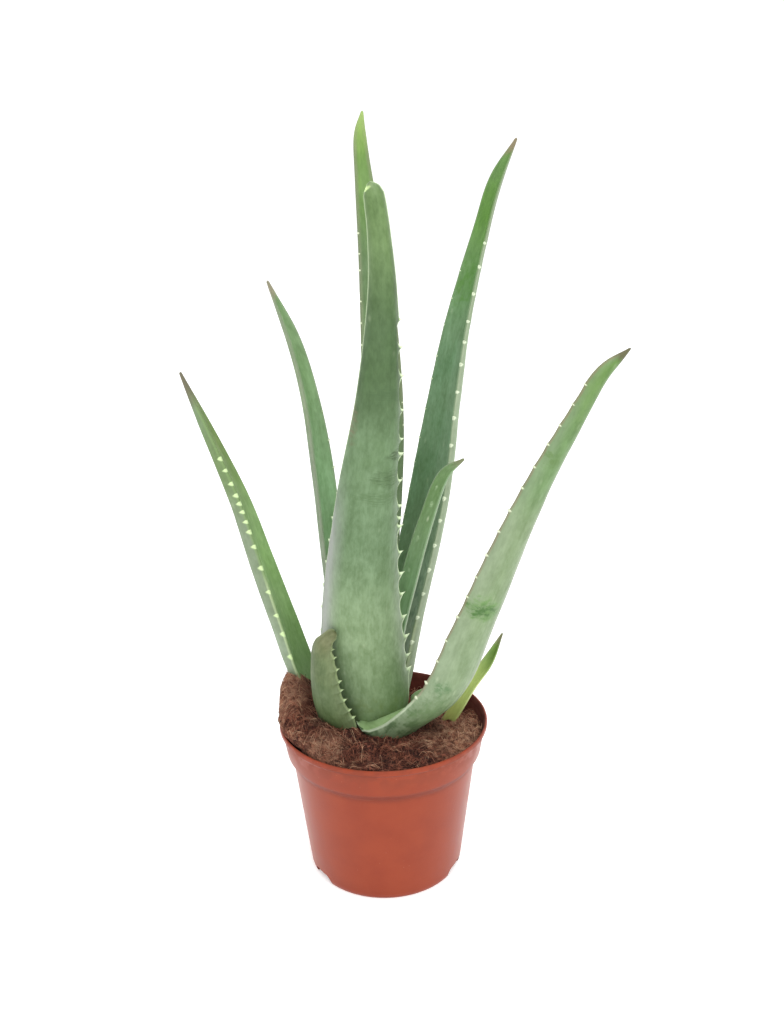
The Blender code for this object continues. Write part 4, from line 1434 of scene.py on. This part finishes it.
def coir():
    """Fibres from dark red-brown to tan, by the tint of each."""
    made, tree, shader = new_material("coir", 0.85, specular_ior_level=0.2)
    tint = node(tree, "Attribute", attribute_name="tint").outputs["Fac"]
    colour = blend(tree, fade(tree, tint, 0.1, 0.6), tone(80, 40, 32), tone(150, 94, 72))
    colour = blend(tree, fade(tree, tint, 0.6, 1.0), colour, tone(222, 180, 146))
    place = millimetres(tree)
    along = patchy(tree, place, 6.0, spread=0.12)
    colour = blend(tree, times(tree, along, 0.6), colour, tone(76, 40, 33))
    tree.links.new(with_pale_and_dark_parts(tree, place, colour, (214, 172, 142)), shader["Base Color"])
    return made


coir_material = coir()
for name, tufts, per_tuft, points, length, lift, spread, fan, thick in (
    ("coir_tufts", TUFT_COUNT, TUFT_FIBRES, 5, (3, 10), (0.1, 1.1), 1.5, 0.45, (0.05, 0.12)),
    ("coir_strands", STRAND_COUNT, STRAND_FIBRES, 7, (5, 16), (0.5, 3.5), 2.0, 0.5, (0.06, 0.14)),
):
    strands, tints = tuft_lines(tufts, per_tuft, points, length, lift, spread, fan)
    kept = kept_clear(strands)
    widths = draw.uniform(*thick, len(strands))
    mesh = thread_mesh(name, strands[kept], widths[kept], tints[kept])
    add_piece(name, mesh, coir_material, "potting_mix")
add_piece("mix_crumbs", crumb_mesh("mix_crumbs", CRUMB_COUNT), peat_material, "potting_mix")

# Studio
# A plain white floor under soft light from all round, as for a catalogue picture, with the camera a
# little above the rosette and looking down at the pot.
FLOOR_SIZE = 8
LENS = 35.68
SENSOR_WIDTH = 36.0
CAMERA_PLACE = (0.0072, -0.520, 0.376)
CAMERA_DOWN = 16.8
CAMERA_ROLL = -1.04
WHITE = (1, 1, 1, 1)
bpy.ops.mesh.primitive_plane_add(size=FLOOR_SIZE)
floor = bpy.context.object
floor.name = "studio_floor"
floor_paint, tree, shader = new_material(
    "floor_paint", 0.9, emission_color=WHITE, emission_strength=0.3
)
grain = patchy(tree, millimetres(tree), 40.0, spread=0.3)
tree.links.new(blend(tree, grain, (0.92, 0.92, 0.92, 1), (0.94, 0.94, 0.94, 1)), shader["Base Color"])
floor.data.materials.append(floor_paint)

world = bpy.data.worlds.new("studio_world")
bpy.context.scene.world = world
world.use_nodes = True
sky = world.node_tree.nodes["Background"].inputs
sky["Color"].default_value = WHITE
sky["Strength"].default_value = 1.2


def soft_box(name, place, aim, size, power):
    """A square light that looks at a point."""
    light = bpy.data.lights.new(name, "AREA")
    light.shape = "SQUARE"
    light.size = size
    light.energy = power
    made = bpy.data.objects.new(name, light)
    made.location = place
    made.rotation_euler = (Vector(aim) - Vector(place)).to_track_quat("-Z", "Y").to_euler()
    bpy.context.scene.collection.objects.link(made)


soft_box("key_light", (0.35, -1.3, 1.5), (0, 0, 0.2), 1.2, 12)
soft_box("top_light", (0.3, 0.2, 1.8), (0, 0, 0.1), 1.0, 6)

camera_data = bpy.data.cameras.new("camera")
camera_data.sensor_width = SENSOR_WIDTH
camera_data.lens = LENS
camera = bpy.data.objects.new("camera", camera_data)
pitch = Matrix.Rotation(math.radians(90 - CAMERA_DOWN), 4, "X")
roll = Matrix.Rotation(math.radians(CAMERA_ROLL), 4, "Z")
camera.matrix_world = Matrix.Translation(CAMERA_PLACE) @ pitch @ roll
bpy.context.scene.collection.objects.link(camera)
bpy.context.scene.camera = camera
bpy.context.scene.view_settings.view_transform = "Standard"
